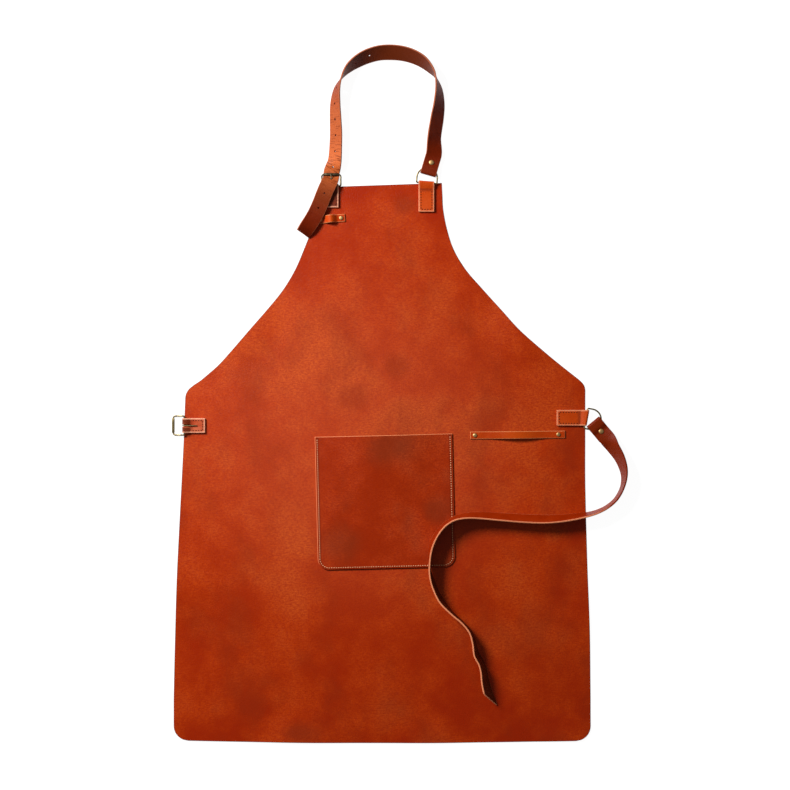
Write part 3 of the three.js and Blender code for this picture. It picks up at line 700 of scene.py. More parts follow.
def make_grain_group() -> bpy.types.NodeTree:
    """Pebbled grain of the hair side, with small pores.

    Returns:
        A group that puts out a height and a crease mask, both from 0 to 1.
    """
    tree, desk, place, size, _, sink = new_group("leather_grain", ["Height", "Crease"])
    cells = desk.add("ShaderNodeTexVoronoi", {
        "Vector": WARP.offset(desk, place, size, WARP_REACH),
        "Scale": desk.math("MULTIPLY", size, PEBBLE_SCALE),
    }, feature="DISTANCE_TO_EDGE").outputs[0]
    pebble = desk.spread(cells, *PEBBLE_SPAN)
    desk.fill(sink, {
        "Height": desk.weighed(pebble, PEBBLE_SHARE, FINE_PORE.value(desk, place, size)),
        "Crease": desk.math("SUBTRACT", 1.0, pebble),
    })
    return tree


def make_wear_group() -> bpy.types.NodeTree:
    """Broken-up wear along a cut edge or a raised rim.

    Returns:
        A group that puts out a wear mask from 0 to 1.
    """
    tree, desk, place, size, source, sink = new_group("edge_wear", ["Wear"], ["Edge"])
    broken = desk.math("SUBTRACT", BREAK_UP.value(desk, place, size), MIDDLE)
    pushed = desk.math("ADD", source.outputs["Edge"], desk.math("MULTIPLY", broken, WEAR_PUSH))
    desk.fill(sink, {"Wear": desk.spread(pushed, *WEAR_SPAN)})
    return tree


def make_tarnish_group() -> bpy.types.NodeTree:
    """Patchy tarnish and fine scratches of old brass.

    Returns:
        A group that puts out a tarnish mask and a scratch height, both from 0 to 1.
    """
    tree, desk, place, size, _, sink = new_group("metal_tarnish", ["Tarnish", "Scratch"])
    fine = SCRATCH.value(desk, place, size)
    mask = desk.weighed(TARNISH.value(desk, place, size), TARNISH_SHARE, fine)
    desk.fill(sink, {"Tarnish": desk.spread(mask, *TONE_SPAN), "Scratch": fine})
    return tree


class Effects:
    """The shared node groups, each built once."""

    def __init__(self) -> None:
        """Builds the groups."""
        self.mottle = make_mottle_group()
        self.grain = make_grain_group()
        self.wear = make_wear_group()
        self.tarnish = make_tarnish_group()


def start_material(name: str) -> tuple[bpy.types.Material, NodeDesk, bpy.types.Node]:
    """Starts a material with an empty tree, a Principled shader and its output.

    Args:
        name: Name of the material.

    Returns:
        The material, a desk on its tree, and the shader node.
    """
    material = bpy.data.materials.new(name)
    material.use_nodes = True
    material.node_tree.nodes.clear()
    desk = NodeDesk(material.node_tree)
    shader = desk.add("ShaderNodeBsdfPrincipled")
    desk.add("ShaderNodeOutputMaterial", {"Surface": shader.outputs[0]})
    return material, desk, shader


@dataclass(frozen=True)
class Patch:
    """A soft stain or faded patch of leather, placed in layout millimetres."""

    x: float
    y: float
    width: float
    height: float
    share: float
    core: float = 0.3
    reach: float = 1.5
    ragged: float = 0.6

    def mask(self, desk: NodeDesk, place: object, tone: object) -> bpy.types.NodeSocket:
        """How far the patch shows at a place.

        Args:
            desk: Desk on the material's tree.
            place: Object coordinates.
            tone: A broad tone from 0 to 1 that breaks up the patch's outline.

        Returns:
            A value socket, from 0 far away to the patch's share in its middle.
        """
        middle = Vector((self.x, self.y, 0.0)) * MM + ORIGIN
        moved = desk.vector("SUBTRACT", place, middle[:])
        spans = (2 / (self.width * MM), 2 / (self.height * MM), 0.0)
        far = desk.distance(desk.vector("MULTIPLY", moved, spans), (0.0, 0.0, 0.0))
        broken = desk.math("MULTIPLY", desk.math("SUBTRACT", tone, MIDDLE), self.ragged)
        return desk.spread(desk.math("ADD", far, broken), self.reach, self.core, 0.0, self.share)


@dataclass(frozen=True)
class LeatherFinish:
    """A dyed leather: its shades, its cut edge, its flesh side, how it shines, and the light and shade
    painted into its colour.
    """

    name: str
    deep: RGB
    base: RGB
    pale: RGB
    edge: RGB
    flesh: RGB
    # Tint laid by the pull mask: painted highlight on the neck strap's leg and the riveted strips, painted
    # shade on the waist strap's loop, in tab creases and in the pocket's seam groove, painted shadow on the
    # neck buckle's tab, and a darker loop on the buckle tabs
    light_and_shade_tint: RGB
    roughness: float = 0.42
    rough_swing: float = 0.1
    worn_rough: float = 0.2
    gloss: float = 0.14
    mottle_size: float = 1.0
    grain_strength: float = 0.35
    grain_height: float = 0.0004
    contrast: float = 0.5
    flecked: float = 0.6
    creased: float = 0.28
    smoke: RGB = (0.23, 0.022, 0.003)
    smoked: float = 0.0
    # Painted sheen: a pale pinkish highlight mixed in where the painted light is strongest
    painted_sheen: RGB = (0.66, 0.15, 0.075)
    painted_sheen_share: float = 0.0
    # Painted light: a pool of key light painted into the tone, round a centre in metres and fading out over
    # a reach
    painted_light_centre: XYZ = (0.0, 0.0, 0.0)
    painted_light_reach: float = 0.0
    # Painted shade in fine creases across the strap, where the pull mask is high
    painted_wrinkle_shade: float = 0.0
    stains: tuple[Patch, ...] = ()
    faded: tuple[Patch, ...] = ()

    def material(self, effects: Effects) -> bpy.types.Material:
        """Builds the leather from the shared mottle, grain and wear groups.

        Args:
            effects: The shared node groups.

        Returns:
            The new material.
        """
        material, desk, shader = start_material(self.name)
        place = desk.add("ShaderNodeTexCoord").outputs["Object"]
        spots = {"Vector": place, "Size": self.mottle_size}
        rims = {"Vector": place, "Edge": desk.attribute("rim")}
        mottle = desk.add("ShaderNodeGroup", spots, node_tree=effects.mottle).outputs
        grain = desk.add("ShaderNodeGroup", {"Vector": place}, node_tree=effects.grain).outputs
        wear = desk.add("ShaderNodeGroup", rims, node_tree=effects.wear).outputs["Wear"]
        # Painted light: the tone is lifted near the painted light's centre and lowered away from it
        shade = self._painted_light(desk, place)
        tone = desk.math("MULTIPLY", desk.math("SUBTRACT", mottle["Tone"], MIDDLE), self.contrast)
        tone = desk.math("ADD", tone, shade)
        for patch in self.faded:
            tone = desk.math("ADD", tone, patch.mask(desk, place, mottle["Tone"]))
        colour = desk.ramp(tone, self.deep, self.base, self.pale)
        colour = desk.tint(desk.math("MULTIPLY", mottle["Fleck"], self.flecked), colour, self.deep)
        colour = desk.tint(desk.math("MULTIPLY", grain["Crease"], self.creased), colour, self.deep)
        # Painted sheen of the key light, laid over the brightest painted light
        if self.painted_sheen_share > 0:
            painted_sheen = desk.math("MULTIPLY", desk.spread(shade, *PAINTED_SHEEN_SPAN), self.painted_sheen_share)
            colour = desk.tint(painted_sheen, colour, self.painted_sheen)
        if self.smoked > 0:
            colour = desk.tint(desk.math("MULTIPLY", mottle["Smudge"], self.smoked), colour, self.smoke)
        for patch in self.stains:
            colour = desk.tint(patch.mask(desk, place, mottle["Tone"]), colour, self.smoke)
        # Painted light and shade laid by the pull mask, broken up by the flecks
        pull = desk.attribute("pull")
        painted_light_share = desk.math("MULTIPLY", pull, desk.spread(mottle["Fleck"], *PAINTED_LIGHT_SPREAD))
        colour = desk.tint(painted_light_share, colour, self.light_and_shade_tint)
        # Painted shade in fine cross creases, only where the painted highlight lies
        if self.painted_wrinkle_shade > 0:
            lines = WRINKLE.value(desk, desk.add("ShaderNodeUVMap", uv_map="UVMap").outputs[0])
            wrinkle_shade_lines = desk.math("MULTIPLY", desk.spread(lines, *WRINKLE_SPAN), self.painted_wrinkle_shade)
            colour = desk.tint(desk.math("MULTIPLY", wrinkle_shade_lines, pull), colour, self.deep)
        colour = desk.tint(desk.spread(desk.attribute("under"), *FLESH_SPAN), colour, self.flesh)
        smoothest = self.roughness - self.rough_swing
        rough = desk.spread(tone, 0.0, 1.0, smoothest, self.roughness + self.rough_swing)
        bump = desk.add("ShaderNodeBump", {
            "Strength": self.grain_strength, "Distance": self.grain_height, "Height": grain["Height"]})
        desk.fill(shader, {
            "Base Color": desk.tint(wear, colour, self.edge),
            "Roughness": desk.math("ADD", rough, desk.math("MULTIPLY", wear, self.worn_rough)),
            "Normal": bump.outputs[0],
            "Specular IOR Level": self.gloss,
        })
        return material

    def _painted_light(self, desk: NodeDesk, place: bpy.types.NodeSocket) -> object:
        """Painted light at a place: the tone is raised near the painted light's centre and lowered away from
        it, between deep at 0 and pale at 1.

        Args:
            desk: Desk on the material's tree.
            place: Object coordinates.

        Returns:
            A value socket, or a plain middle value for leather without painted light.
        """
        if self.painted_light_reach <= 0:
            return MIDDLE
        far = desk.distance(place, self.painted_light_centre)
        return desk.spread(far, self.painted_light_reach, 0.0, *PAINTED_LIGHT_SPAN)


@dataclass(frozen=True)
class MetalFinish:
    """An aged metal: its bright and tarnished shades and how rough it is."""

    name: str
    bright: RGB
    tarnished: RGB
    roughness: float
    tarnish_rough: float = 0.2
    scratch_strength: float = 0.15
    scratch_height: float = 0.0001

    def material(self, effects: Effects) -> bpy.types.Material:
        """Builds the metal from the shared tarnish group.

        Args:
            effects: The shared node groups.

        Returns:
            The new material.
        """
        material, desk, shader = start_material(self.name)
        place = desk.add("ShaderNodeTexCoord").outputs["Object"]
        tarnish = desk.add("ShaderNodeGroup", {"Vector": place}, node_tree=effects.tarnish)
        mask = tarnish.outputs["Tarnish"]
        bump = desk.add("ShaderNodeBump", {
            "Strength": self.scratch_strength, "Distance": self.scratch_height,
            "Height": tarnish.outputs["Scratch"]})
        desk.fill(shader, {
            "Base Color": desk.tint(mask, (*self.bright, 1), self.tarnished),
            "Roughness": desk.spread(mask, 0.0, 1.0, self.roughness, self.roughness + self.tarnish_rough),
            "Normal": bump.outputs[0],
            "Metallic": 1.0,
        })
        return material


@dataclass(frozen=True)
class ThreadFinish:
    """Waxed thread, with painted shade where it goes down into the leather."""

    name: str
    strand: RGB
    hole_shade: RGB
    mottle_size: float = 3.0
    flecked: float = 0.3
    twist_strength: float = 0.2
    twist_height: float = 0.0001
    roughness: float = 0.7
    gloss: float = 0.1

    def material(self, effects: Effects) -> bpy.types.Material:
        """Builds the thread, with a fine twist from noise.

        Args:
            effects: The shared node groups.

        Returns:
            The new material.
        """
        material, desk, shader = start_material(self.name)
        place = desk.add("ShaderNodeTexCoord").outputs["Object"]
        spots = {"Vector": place, "Size": self.mottle_size}
        mottle = desk.add("ShaderNodeGroup", spots, node_tree=effects.mottle)
        fleck = desk.math("MULTIPLY", mottle.outputs["Fleck"], self.flecked)
        bump = desk.add("ShaderNodeBump", {
            "Strength": self.twist_strength, "Distance": self.twist_height,
            "Height": TWIST.value(desk, place)})
        worn = desk.tint(fleck, (*self.strand, 1), self.hole_shade)
        desk.fill(shader, {
            # Painted shade at the stitch ends, where the thread dips into its holes
            "Base Color": desk.tint(desk.attribute("hole_shade"), worn, self.hole_shade),
            "Normal": bump.outputs[0],
            "Roughness": self.roughness,
            "Specular IOR Level": self.gloss,
        })
        return material


class Palette:
    """Every finish of the apron as a material."""

    def __init__(self, effects: Effects) -> None:
        """Builds the materials.

        Args:
            effects: The shared node groups.
        """
        self.body = LeatherFinish(
            "body_leather", deep=(0.32, 0.0165, 0.0), base=(0.485, 0.045, 0.0002), pale=(0.6, 0.084, 0.005),
            edge=(0.13, 0.024, 0.009), flesh=(0.36, 0.11, 0.05), light_and_shade_tint=(0.55, 0.09, 0.03), flecked=0.8,
            # Painted light: a pool of painted key light towards the upper left, with painted sheen there
            painted_light_centre=(-0.07, -0.07, 0.0), painted_light_reach=0.5, contrast=0.7, smoked=0.4, painted_sheen_share=0.1,
            stains=(Patch(34, 805, 40, 28, 0.5), Patch(-124, 14, 60, 34, 0.6), Patch(-46, 520, 50, 40, 0.35),
                    Patch(22, 565, 36, 34, 0.35)),
            faded=(Patch(-133, 319, 60, 96, 0.24), Patch(-136, 224, 60, 76, 0.22),
                   Patch(209, 250, 76, 96, 0.3))).material(effects)
        self.pocket = LeatherFinish(
            "pocket_leather", deep=(0.28, 0.016, 0.0), base=(0.43, 0.036, 0.001), pale=(0.52, 0.06, 0.006),
            # The pocket's tint is painted shade in its seam groove
            edge=(0.7, 0.22, 0.09), flesh=(0.3, 0.09, 0.04), light_and_shade_tint=(0.17, 0.011, 0.0),
            mottle_size=1.4, contrast=0.7, flecked=0.95, smoke=(0.18, 0.026, 0.006), smoked=0.3,
            stains=(Patch(17, 445, 82, 54, 0.5), Patch(85, 350, 42, 44, 0.45),
                    Patch(-70, 298, 58, 50, 0.4))).material(effects)
        self.strap = LeatherFinish(
            "strap_leather", deep=(0.09, 0.0065, 0.0), base=(0.165, 0.0125, 0.0003),
            pale=(0.24, 0.024, 0.001), edge=(0.36, 0.1, 0.045), flesh=(0.11, 0.016, 0.003),
            # The neck strap's tint is a painted highlight, and its wrinkles are painted crease shade
            light_and_shade_tint=(0.53, 0.12, 0.03), mottle_size=2.5, painted_wrinkle_shade=0.75, gloss=0.1).material(effects)
        self.waist_strap = LeatherFinish(
            "waist_strap_leather", deep=(0.21, 0.012, 0.0), base=(0.32, 0.023, 0.0002),
            pale=(0.4, 0.036, 0.001), edge=(0.78, 0.26, 0.12), flesh=(0.11, 0.016, 0.003),
            # The waist strap's tint is the painted shade of its loop
            light_and_shade_tint=(0.165, 0.014, 0.0003), mottle_size=2.5, gloss=0.1).material(effects)
        self.tab = LeatherFinish(
            "tab_leather", deep=(0.42, 0.035, 0.0), base=(0.55, 0.062, 0.002), pale=(0.64, 0.09, 0.008),
            # The tab's tint is painted crease shade
            edge=(0.72, 0.25, 0.12), flesh=(0.36, 0.1, 0.04), light_and_shade_tint=(0.17, 0.015, 0.001),
            mottle_size=3.0).material(effects)
        self.worn_tab = LeatherFinish(
            "worn_tab_leather", deep=(0.36, 0.04, 0.01), base=(0.48, 0.085, 0.028), pale=(0.58, 0.14, 0.06),
            # Tint of the worn tabs: darker over the loop, and painted shadow on the neck buckle's tab
            edge=(0.78, 0.36, 0.22), flesh=(0.3, 0.09, 0.04), light_and_shade_tint=(0.11, 0.012, 0.002),
            mottle_size=6.0, contrast=1.0).material(effects)
        self.strip = LeatherFinish(
            "strip_leather", deep=(0.36, 0.026, 0.0), base=(0.48, 0.045, 0.001), pale=(0.57, 0.07, 0.003),
            # The strips' tint is a painted highlight on their bows
            edge=(0.66, 0.22, 0.08), flesh=(0.36, 0.1, 0.04), light_and_shade_tint=(0.58, 0.085, 0.003),
            mottle_size=3.0, gloss=0.12).material(effects)
        self.ring = MetalFinish(
            "aged_wire", bright=(0.34, 0.26, 0.12), tarnished=(0.1, 0.076, 0.038),
            roughness=0.36).material(effects)
        self.cap = MetalFinish(
            "brass_caps", bright=(0.74, 0.48, 0.2), tarnished=(0.42, 0.24, 0.09),
            roughness=0.42).material(effects)
        self.bronze = MetalFinish(
            "dark_bronze", bright=(0.16, 0.13, 0.075), tarnished=(0.05, 0.04, 0.025),
            roughness=0.36).material(effects)
        self.light_thread = ThreadFinish(
            "light_thread", strand=(0.95, 0.46, 0.24), hole_shade=(0.2, 0.035, 0.01)).material(effects)
        self.dark_thread = ThreadFinish(
            "dark_thread", strand=(0.07, 0.014, 0.005), hole_shade=(0.02, 0.005, 0.002)).material(effects)


def dress(piece: bpy.types.Object, material: bpy.types.Material, body: Body, slot: Slot,
          *nodes: str) -> None:
    """Gives a piece its material and its place in the frame.

    Args:
        piece: The finished piece.
        material: Its finish.
        body: The frame body that it rides on.
        slot: Not used.
        *nodes: The solids that it stands for.
    """
    piece.data.materials.clear()
    piece.data.materials.append(material)
    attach(piece, body.value)
    if nodes:
        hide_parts(*nodes)
    LOG.info("%s: %d faces on %s", piece.name, len(piece.data.polygons), body.value)


# Stitching

@dataclass
class StitchMaker:
    """One waxed stitch, modelled once and copied along seams into joined meshes."""

    length: float
    width: float
    height: float
    slant: float = 6.0
    lift: float = 0.06
    sink: float = 0.3
    sink_power: int = 4
    hole_shade_from: float = 0.7
    hole_shade_rate: float = 3.0
    sides: int = 8
    rings: int = 6

    def pattern(self) -> tuple[np.ndarray, list[tuple[int, ...]], np.ndarray]:
        """Models one stitch along X with its two ends drawn down.

        Returns:
            Its points in millimetres, its faces, and a mask of painted shade that is 1 at its ends.
        """
        bpy.ops.object.select_all(action="DESELECT")
        bpy.ops.mesh.primitive_uv_sphere_add(
            segments=self.sides, ring_count=self.rings, radius=1.0, rotation=(0, math.pi / 2, 0))
        strand = bpy.context.object
        strand.scale = (self.height / 2, self.width / 2, self.length / 2)
        bpy.ops.object.transform_apply(location=True, rotation=True, scale=True)
        points = np.array([vertex.co for vertex in strand.data.vertices])
        faces = [tuple(face.vertices) for face in strand.data.polygons]
        bpy.data.objects.remove(strand)
        far = np.abs(points[:, 0]) / (self.length / 2)
        points[:, 2] -= self.sink * far ** self.sink_power
        return points, faces, np.clip((far - self.hole_shade_from) * self.hole_shade_rate, 0, 1)

    def seam(self, name: str, places: np.ndarray, runs: np.ndarray) -> bpy.types.Object:
        """Lays the stitch at each place of a flat seam.

        Args:
            name: Name of the joined piece.
            places: Middles of the stitches on the leather, in layout millimetres.
            runs: Unit directions along the seam.

        Returns:
            The joined piece.
        """
        points, faces, masks = self.pattern()
        points = turned(points, self.slant)
        up = np.array(UP)
        sides = np.cross(up, runs)
        laid = places[:, None] + points[None, :, :1] * runs[:, None]
        laid = laid + points[None, :, 1:2] * sides[:, None] + (points[None, :, 2:] + self.lift) * up
        count = len(points)
        verts = laid.reshape(-1, 3) * MM + np.array(ORIGIN)
        quads = []
        for first in range(0, len(verts), count):
            quads += [tuple(first + index for index in face) for face in faces]
        mesh = bpy.data.meshes.new(name)
        mesh.from_pydata(verts.tolist(), [], quads)
        mesh.shade_smooth()
        mask = np.tile(masks, len(places)).astype(np.float32)
        # Mask of painted shade at the stitch ends
        mesh.attributes.new("hole_shade", "FLOAT", "POINT").data.foreach_set("value", mask)
        return linked(name, mesh)


def along_line(corners: np.ndarray, pitch: float) -> tuple[np.ndarray, np.ndarray]:
    """Spaces stitches evenly along a line of points.

    Args:
        corners: Points of the line.
        pitch: Wanted spacing.

    Returns:
        Middles of the stitches and the directions along the line there.
    """
    reach = lengths_along(corners)
    count = max(2, round(reach[-1] / pitch))
    at = (np.arange(count) + MIDDLE) * reach[-1] / count
    ahead = points_at(at + SEAM_PROBE, reach, corners)
    behind = points_at(at - SEAM_PROBE, reach, corners)
    return points_at(at, reach, corners), unit(ahead - behind)


# Apron body and pocket

# Height, left and right of the outline from the bib down to the hem, in millimetres
OUTLINE: list[XYZ] = [
    (836, -92, 89), (817, -97.5, 90), (799, -102, 91), (769, -107, 97), (739, -118, 107),
    (709, -131, 125), (679, -149, 151), (649, -173, 178), (619, -199, 205), (589, -225, 239),
    (566, -246, 267), (551, -263, 286), (542, -274, 297), (536, -283, 302), (529, -291, 304),
    (521, -295, 304), (508, -296, 304), (454, -298, 304), (394, -301, 304), (274, -307, 307),
    (154, -311, 311), (64, -313, 312),
]

# Place across and along, reach and height of each lifted stretch of edge, in millimetres
EDGE_LIFTS: list[Row] = [
    (-215, 630, 70, 3), (222, 625, 75, 3.5), (-325, 235, 85, 2.5), (330, 190, 80, 2.5), (-120, -25, 90, 3),
    (75, -30, 80, 2.5), (285, -20, 75, 3),
]


def corner_rows(left: float, right: float, radius: float, count: int) -> list[XYZ]:
    """Rows of a rounded bottom corner, from the straight bottom edge up to the sides.

    Args:
        left: Left side.
        right: Right side.
        radius: Radius of the corners.
        count: Number of rows round the corner.

    Returns:
        Height, left and right of each row.
    """
    rows = []
    for step in range(count + 1):
        angle = math.pi / 2 * step / count
        inset = radius * (1 - math.sin(angle))
        rows.append((radius * (1 - math.cos(angle)), left + inset, right - inset))
    return rows


def edged_shares(width: float, step: float) -> np.ndarray:
    """Shares across a sheet, evenly spaced but closer together beside its two edges."""
    inner = spaced(0, 1, step / width)[1:-1]
    near = np.array(EDGE_ROWS) / width
    clear = near[-1] * EDGE_CLEAR
    inner = inner[(inner > clear) & (inner < 1 - clear)]
    return np.concatenate([[0], near, inner, 1 - near[::-1], [1]])


def row_grid(rows: np.ndarray, shares: np.ndarray) -> tuple[np.ndarray, np.ndarray]:
    """Spreads rows of a sheet's outline into a grid.

    Args:
        rows: Height, left and right of each row.
        shares: Shares across each row.

    Returns:
        Places across and heights of the grid's points.
    """
    x = rows[:, 1:2] + (rows[:, 2:3] - rows[:, 1:2]) * shares[None, :]
    return x, np.repeat(rows[:, :1], len(shares), axis=1)


@dataclass
class ApronBody:
    """The cut sheet of the apron from bib to hem, with edges that stand a little off the floor."""

    hem_corner: float = 22.0
    hem_bow: float = 4.0
    hem_bow_zone: float = 60.0
    hem_rise: float = 3.5
    hem_rise_zone: float = 200.0
    bib_slope: float = 0.035
    bib_slope_zone: float = 70.0
    width: float = 620.0
    step: float = 5.5
    more_rows: int = 40
    flat: tuple[float, float] = (0.625, 0.840)
    flat_area: float = 0.4247

    def rows(self) -> np.ndarray:
        """Height, left and right of rows from the hem up to the bib."""
        knots = np.array(OUTLINE[::-1], float)
        bottom, left, right = knots[0]
        count = len(spaced(0, 1, self.step / (knots[-1, 0] - bottom))) + self.more_rows
        sides = curve_points(knots[:, [1, 0, 2]], np.linspace(0, 1, count))[:, [1, 0, 2]]
        hem = corner_rows(left, right, self.hem_corner, CORNER_STEPS)
        between = [(height, left, right) for height in spaced(self.hem_corner, bottom, self.step)[1:-1]]
        rows = np.array(hem + between + sides.tolist())
        top = rows[-1, 0]
        near = [0.0, *EDGE_ROWS]
        low = [np.array([depth, *self._ends(rows, depth)]) for depth in near]
        high = [np.array([top - depth, *self._ends(rows, top - depth)]) for depth in near[::-1]]
        inner = rows[(rows[:, 0] > EDGE_BAND) & (rows[:, 0] < top - EDGE_BAND)]
        return np.vstack([low, inner, high])

    @staticmethod
    def _ends(rows: np.ndarray, height: float) -> tuple[float, float]:
        """Left and right of the outline at a height."""
        return np.interp(height, rows[:, 0], rows[:, 1]), np.interp(height, rows[:, 0], rows[:, 2])

    def surface(self, x: np.ndarray, height: np.ndarray) -> np.ndarray:
        """Places outline points on the middle of the lying sheet.

        Args:
            x: Places across.
            height: Places along, before the hem and the bib are bowed.

        Returns:
            Points in layout millimetres.
        """
        hem_right = OUTLINE[-1][2]
        top = OUTLINE[0][0]
        bow = self.hem_bow * (1 - (x / hem_right) ** 2) * np.maximum(0, 1 - height / self.hem_bow_zone)
        share = np.clip((height - top + self.bib_slope_zone) / self.bib_slope_zone, 0, 1)
        rise = self.hem_rise * np.maximum(0, 1 - height / self.hem_rise_zone)
        y = height - bow + rise + self.bib_slope * x * smooth(share)
        lift = np.zeros_like(x)
        for spot_x, spot_y, reach, lifted in EDGE_LIFTS:
            far = np.minimum(np.hypot(x - spot_x, y - spot_y) / reach, 1)
            lift += lifted * (1 - far ** 2) ** 2
        return np.stack([x, y, lift + BODY_THICK / 2], axis=-1)

    def build(self, palette: Palette, floor: bpy.types.Object) -> bpy.types.Object:
        """Makes the sheet and dresses it.

        Args:
            palette: The finishes.
            floor: Not used.

        Returns:
            The body.
        """
        x, height = row_grid(self.rows(), edged_shares(self.width, self.step))
        middle = self.surface(x, height)
        piece = LeatherSheet("leather_body", middle, middle[..., :2].copy(), BODY_THICK).build()
        dress(piece, palette.body, Body.APRON, Slot.BODY, "apron_body")
        return piece


@dataclass
class FrontPocket:
    """The sewn front pocket, its mouth standing a little off the body."""

    x: float = 4.0
    y: float = 361.0
    width: float = 206.0
    height: float = 200.0
    corner: float = 17.0
    tilt: float = 1.4
    bulge: float = 7.0
    step: float = 3.5
    seam_inset: float = 3.4
    seam_pitch: float = 3.5
    seam_step: float = 2.0
    groove_row: int = 3
    # Reach of the painted lit edge
    lit_edge_reach: float = 6.0

    def surface(self, x: np.ndarray, height: np.ndarray, rise: float) -> np.ndarray:
        """Places flat pocket points on the bulged pocket.

        Args:
            x: Places across from the pocket's middle.
            height: Places up from its bottom edge.
            rise: Height over its underside.

        Returns:
            Points in layout millimetres.
        """
        across = np.maximum(1 - (x / (self.width / 2)) ** 2, 0)
        along = height / self.height
        z = BODY_THICK + GAP + rise + self.bulge * across ** 2 * along ** 2
        points = turned(np.stack([x, height - self.height / 2, z], axis=-1), self.tilt)
        return points + np.array([self.x, self.y, 0])

    def seam_line(self) -> np.ndarray:
        """Points of the seam down one side, along the bottom and up the other side."""
        half = self.width / 2 - self.seam_inset
        radius = self.corner - self.seam_inset
        low = self.seam_inset
        left = arc((-half + radius, low + radius), radius, 180, 270, CORNER_STEPS)
        right = arc((half - radius, low + radius), radius, 270, 360, CORNER_STEPS)
        top = self.height - self.seam_inset
        flat = np.vstack([[(-half, top)], left, right, [(half, top)]])
        dense = [flat[:1]]
        for start, end in zip(flat, flat[1:]):
            count = max(2, round(np.linalg.norm(end - start) / self.seam_step) + 1)
            dense.append(np.linspace(start, end, count)[1:])
        line = np.vstack(dense)
        return self.surface(line[:, 0], line[:, 1], POCKET_THICK)

    def build(self, palette: Palette, stitches: StitchMaker) -> list[bpy.types.Object]:
        """Makes the pocket and its seam and dresses them.

        Args:
            palette: The finishes.
            stitches: The stitch to sew with.

        Returns:
            The pocket and its seam.
        """
        half = self.width / 2
        rows = corner_rows(-half, half, self.corner, CORNER_STEPS)
        heights = [*spaced(self.corner, self.height - EDGE_BAND, self.step)[1:]]
        heights += [self.height - depth for depth in (*EDGE_ROWS[::-1], 0.0)]
        rows += [(height, -half, half) for height in heights]
        x, height = row_grid(np.array(rows), edged_shares(self.width, self.step))
        middle = self.surface(x, height, POCKET_THICK / 2)
        flat = np.stack([x, height], axis=-1)
        # Painted shade in the seam groove, just inside the stitch line
        groove_shade = np.zeros(x.shape)
        groove_shade[self.groove_row:, [self.groove_row - 1, -self.groove_row]] = 1
        groove_shade[self.groove_row, self.groove_row - 1:1 - self.groove_row] = 1
        # Painted light: the pale cut edge shows only on the left and top sides, which face the key light
        inwards = np.minimum(x + half, self.height - height)
        pale = 1 - np.clip(inwards / self.lit_edge_reach, 0, 1)
        piece = LeatherSheet("front_pocket", middle, flat, POCKET_THICK, groove_shade, rim_share=pale).build()
        dress(piece, palette.pocket, Body.APRON, Slot.POCKET, "pocket")
        places, runs = along_line(self.seam_line(), self.seam_pitch)
        seam = stitches.seam("pocket_stitches", places, runs)
        dress(seam, palette.light_thread, Body.APRON, Slot.POCKET)
        return [piece, seam]


# Straps

# Place across and along and lift in millimetres, and lean in degrees, along the neck strap
NECK_RUN: list[Row] = [
    (77.4, 906, 0.2, 146), (81.6, 934, 0.2, 143), (84.6, 957, 0.2, 131), (84.1, 979, 0.2, 114),
    (79.3, 996.7, 0.2, 93), (73.1, 1006.2, 0.2, 76), (59.6, 1019.4, 0.2, 56), (43.7, 1027.8, 0.2, 44),
    (26.9, 1032.3, 0.2, 37), (11, 1033.6, 0.2, 33), (-4.9, 1032.5, 0.2, 37), (-21.5, 1027.7, 0.2, 43),
    (-36.4, 1020.1, 0.2, 54), (-50.3, 1009.4, 0.2, 71), (-60.2, 996.5, 0.2, 92), (-67.7, 979, 0.2, 113),
    (-70.4, 956, 0.2, 128), (-70, 934, 0.2, 134), (-69.3, 911, 0.2, 138), (-70, 889, 0.2, 141),
    (-70.8, 876, 0.2, 145), (-72, 868, 0.2, 152), (-73.3, 863.5, 0.2, 162), (-74.6, 860, 0.2, 174),
    (-75.8, 857, 0.2, 180), (-76.5, 853, 0.2, 180), (-76.7, 849.6, 0.25, 180), (-77, 847.2, 1.3, 180),
    (-77.4, 844.6, 4.2, 181), (-78, 841.8, 7.3, 182), (-79.3, 838.6, 9.5, 183), (-81.2, 834.5, 9.9, 183),
    (-83.8, 829.4, 9.5, 183), (-87.8, 820, 8.7, 183), (-92.6, 808, 7.2, 184), (-98.2, 795.5, 6.4, 185),
    (-105, 783, 6.1, 188), (-112, 772.2, 5.6, 197), (-119, 762, 2.6, 214),
]

# The same along the waist strap
WAIST_RUN: list[Row] = [
    (343.8, 444, 0.2, 137), (353.6, 428.2, 0.2, 122), (359.6, 411.4, 0.2, 110), (360.8, 398, 0.2, 100),
    (357.5, 382, 0.2, 93), (348.3, 365.7, 0.2, 92), (335.3, 354.4, 0.2, 93), (322.3, 347.8, 0.8, 95),
    (310, 344, 2.3, 98), (296, 341.2, 2.4, 102), (274, 338, 2.4, 108), (244, 336, 2.4, 114),
    (212, 337, 2.4, 115), (175, 339.5, 2.4, 112), (145, 341.5, 2.6, 108), (125, 341.2, 4.3, 103),
    (108, 337.5, 4.6, 98), (95, 330, 4.6, 97), (84.5, 319, 4.6, 98), (75.5, 304, 4.6, 100),
    (71, 289, 4.6, 98), (70, 274, 4.6, 92), (71, 257, 4.4, 84), (76, 239, 2.6, 77), (86, 217, 2.4, 76),
    (102, 197.5, 2.4, 85), (118, 183, 2.4, 88), (130.5, 168.5, 2.4, 84), (136.5, 151.5, 2.4, 78),
    (140, 134.5, 2.4, 72), (147, 122, 2.4, 70), (151, 109, 2.4, 66), (153, 95, 2.4, 62),
    (157.5, 77, 2.4, 58), (165, 55, 2.4, 58),
]


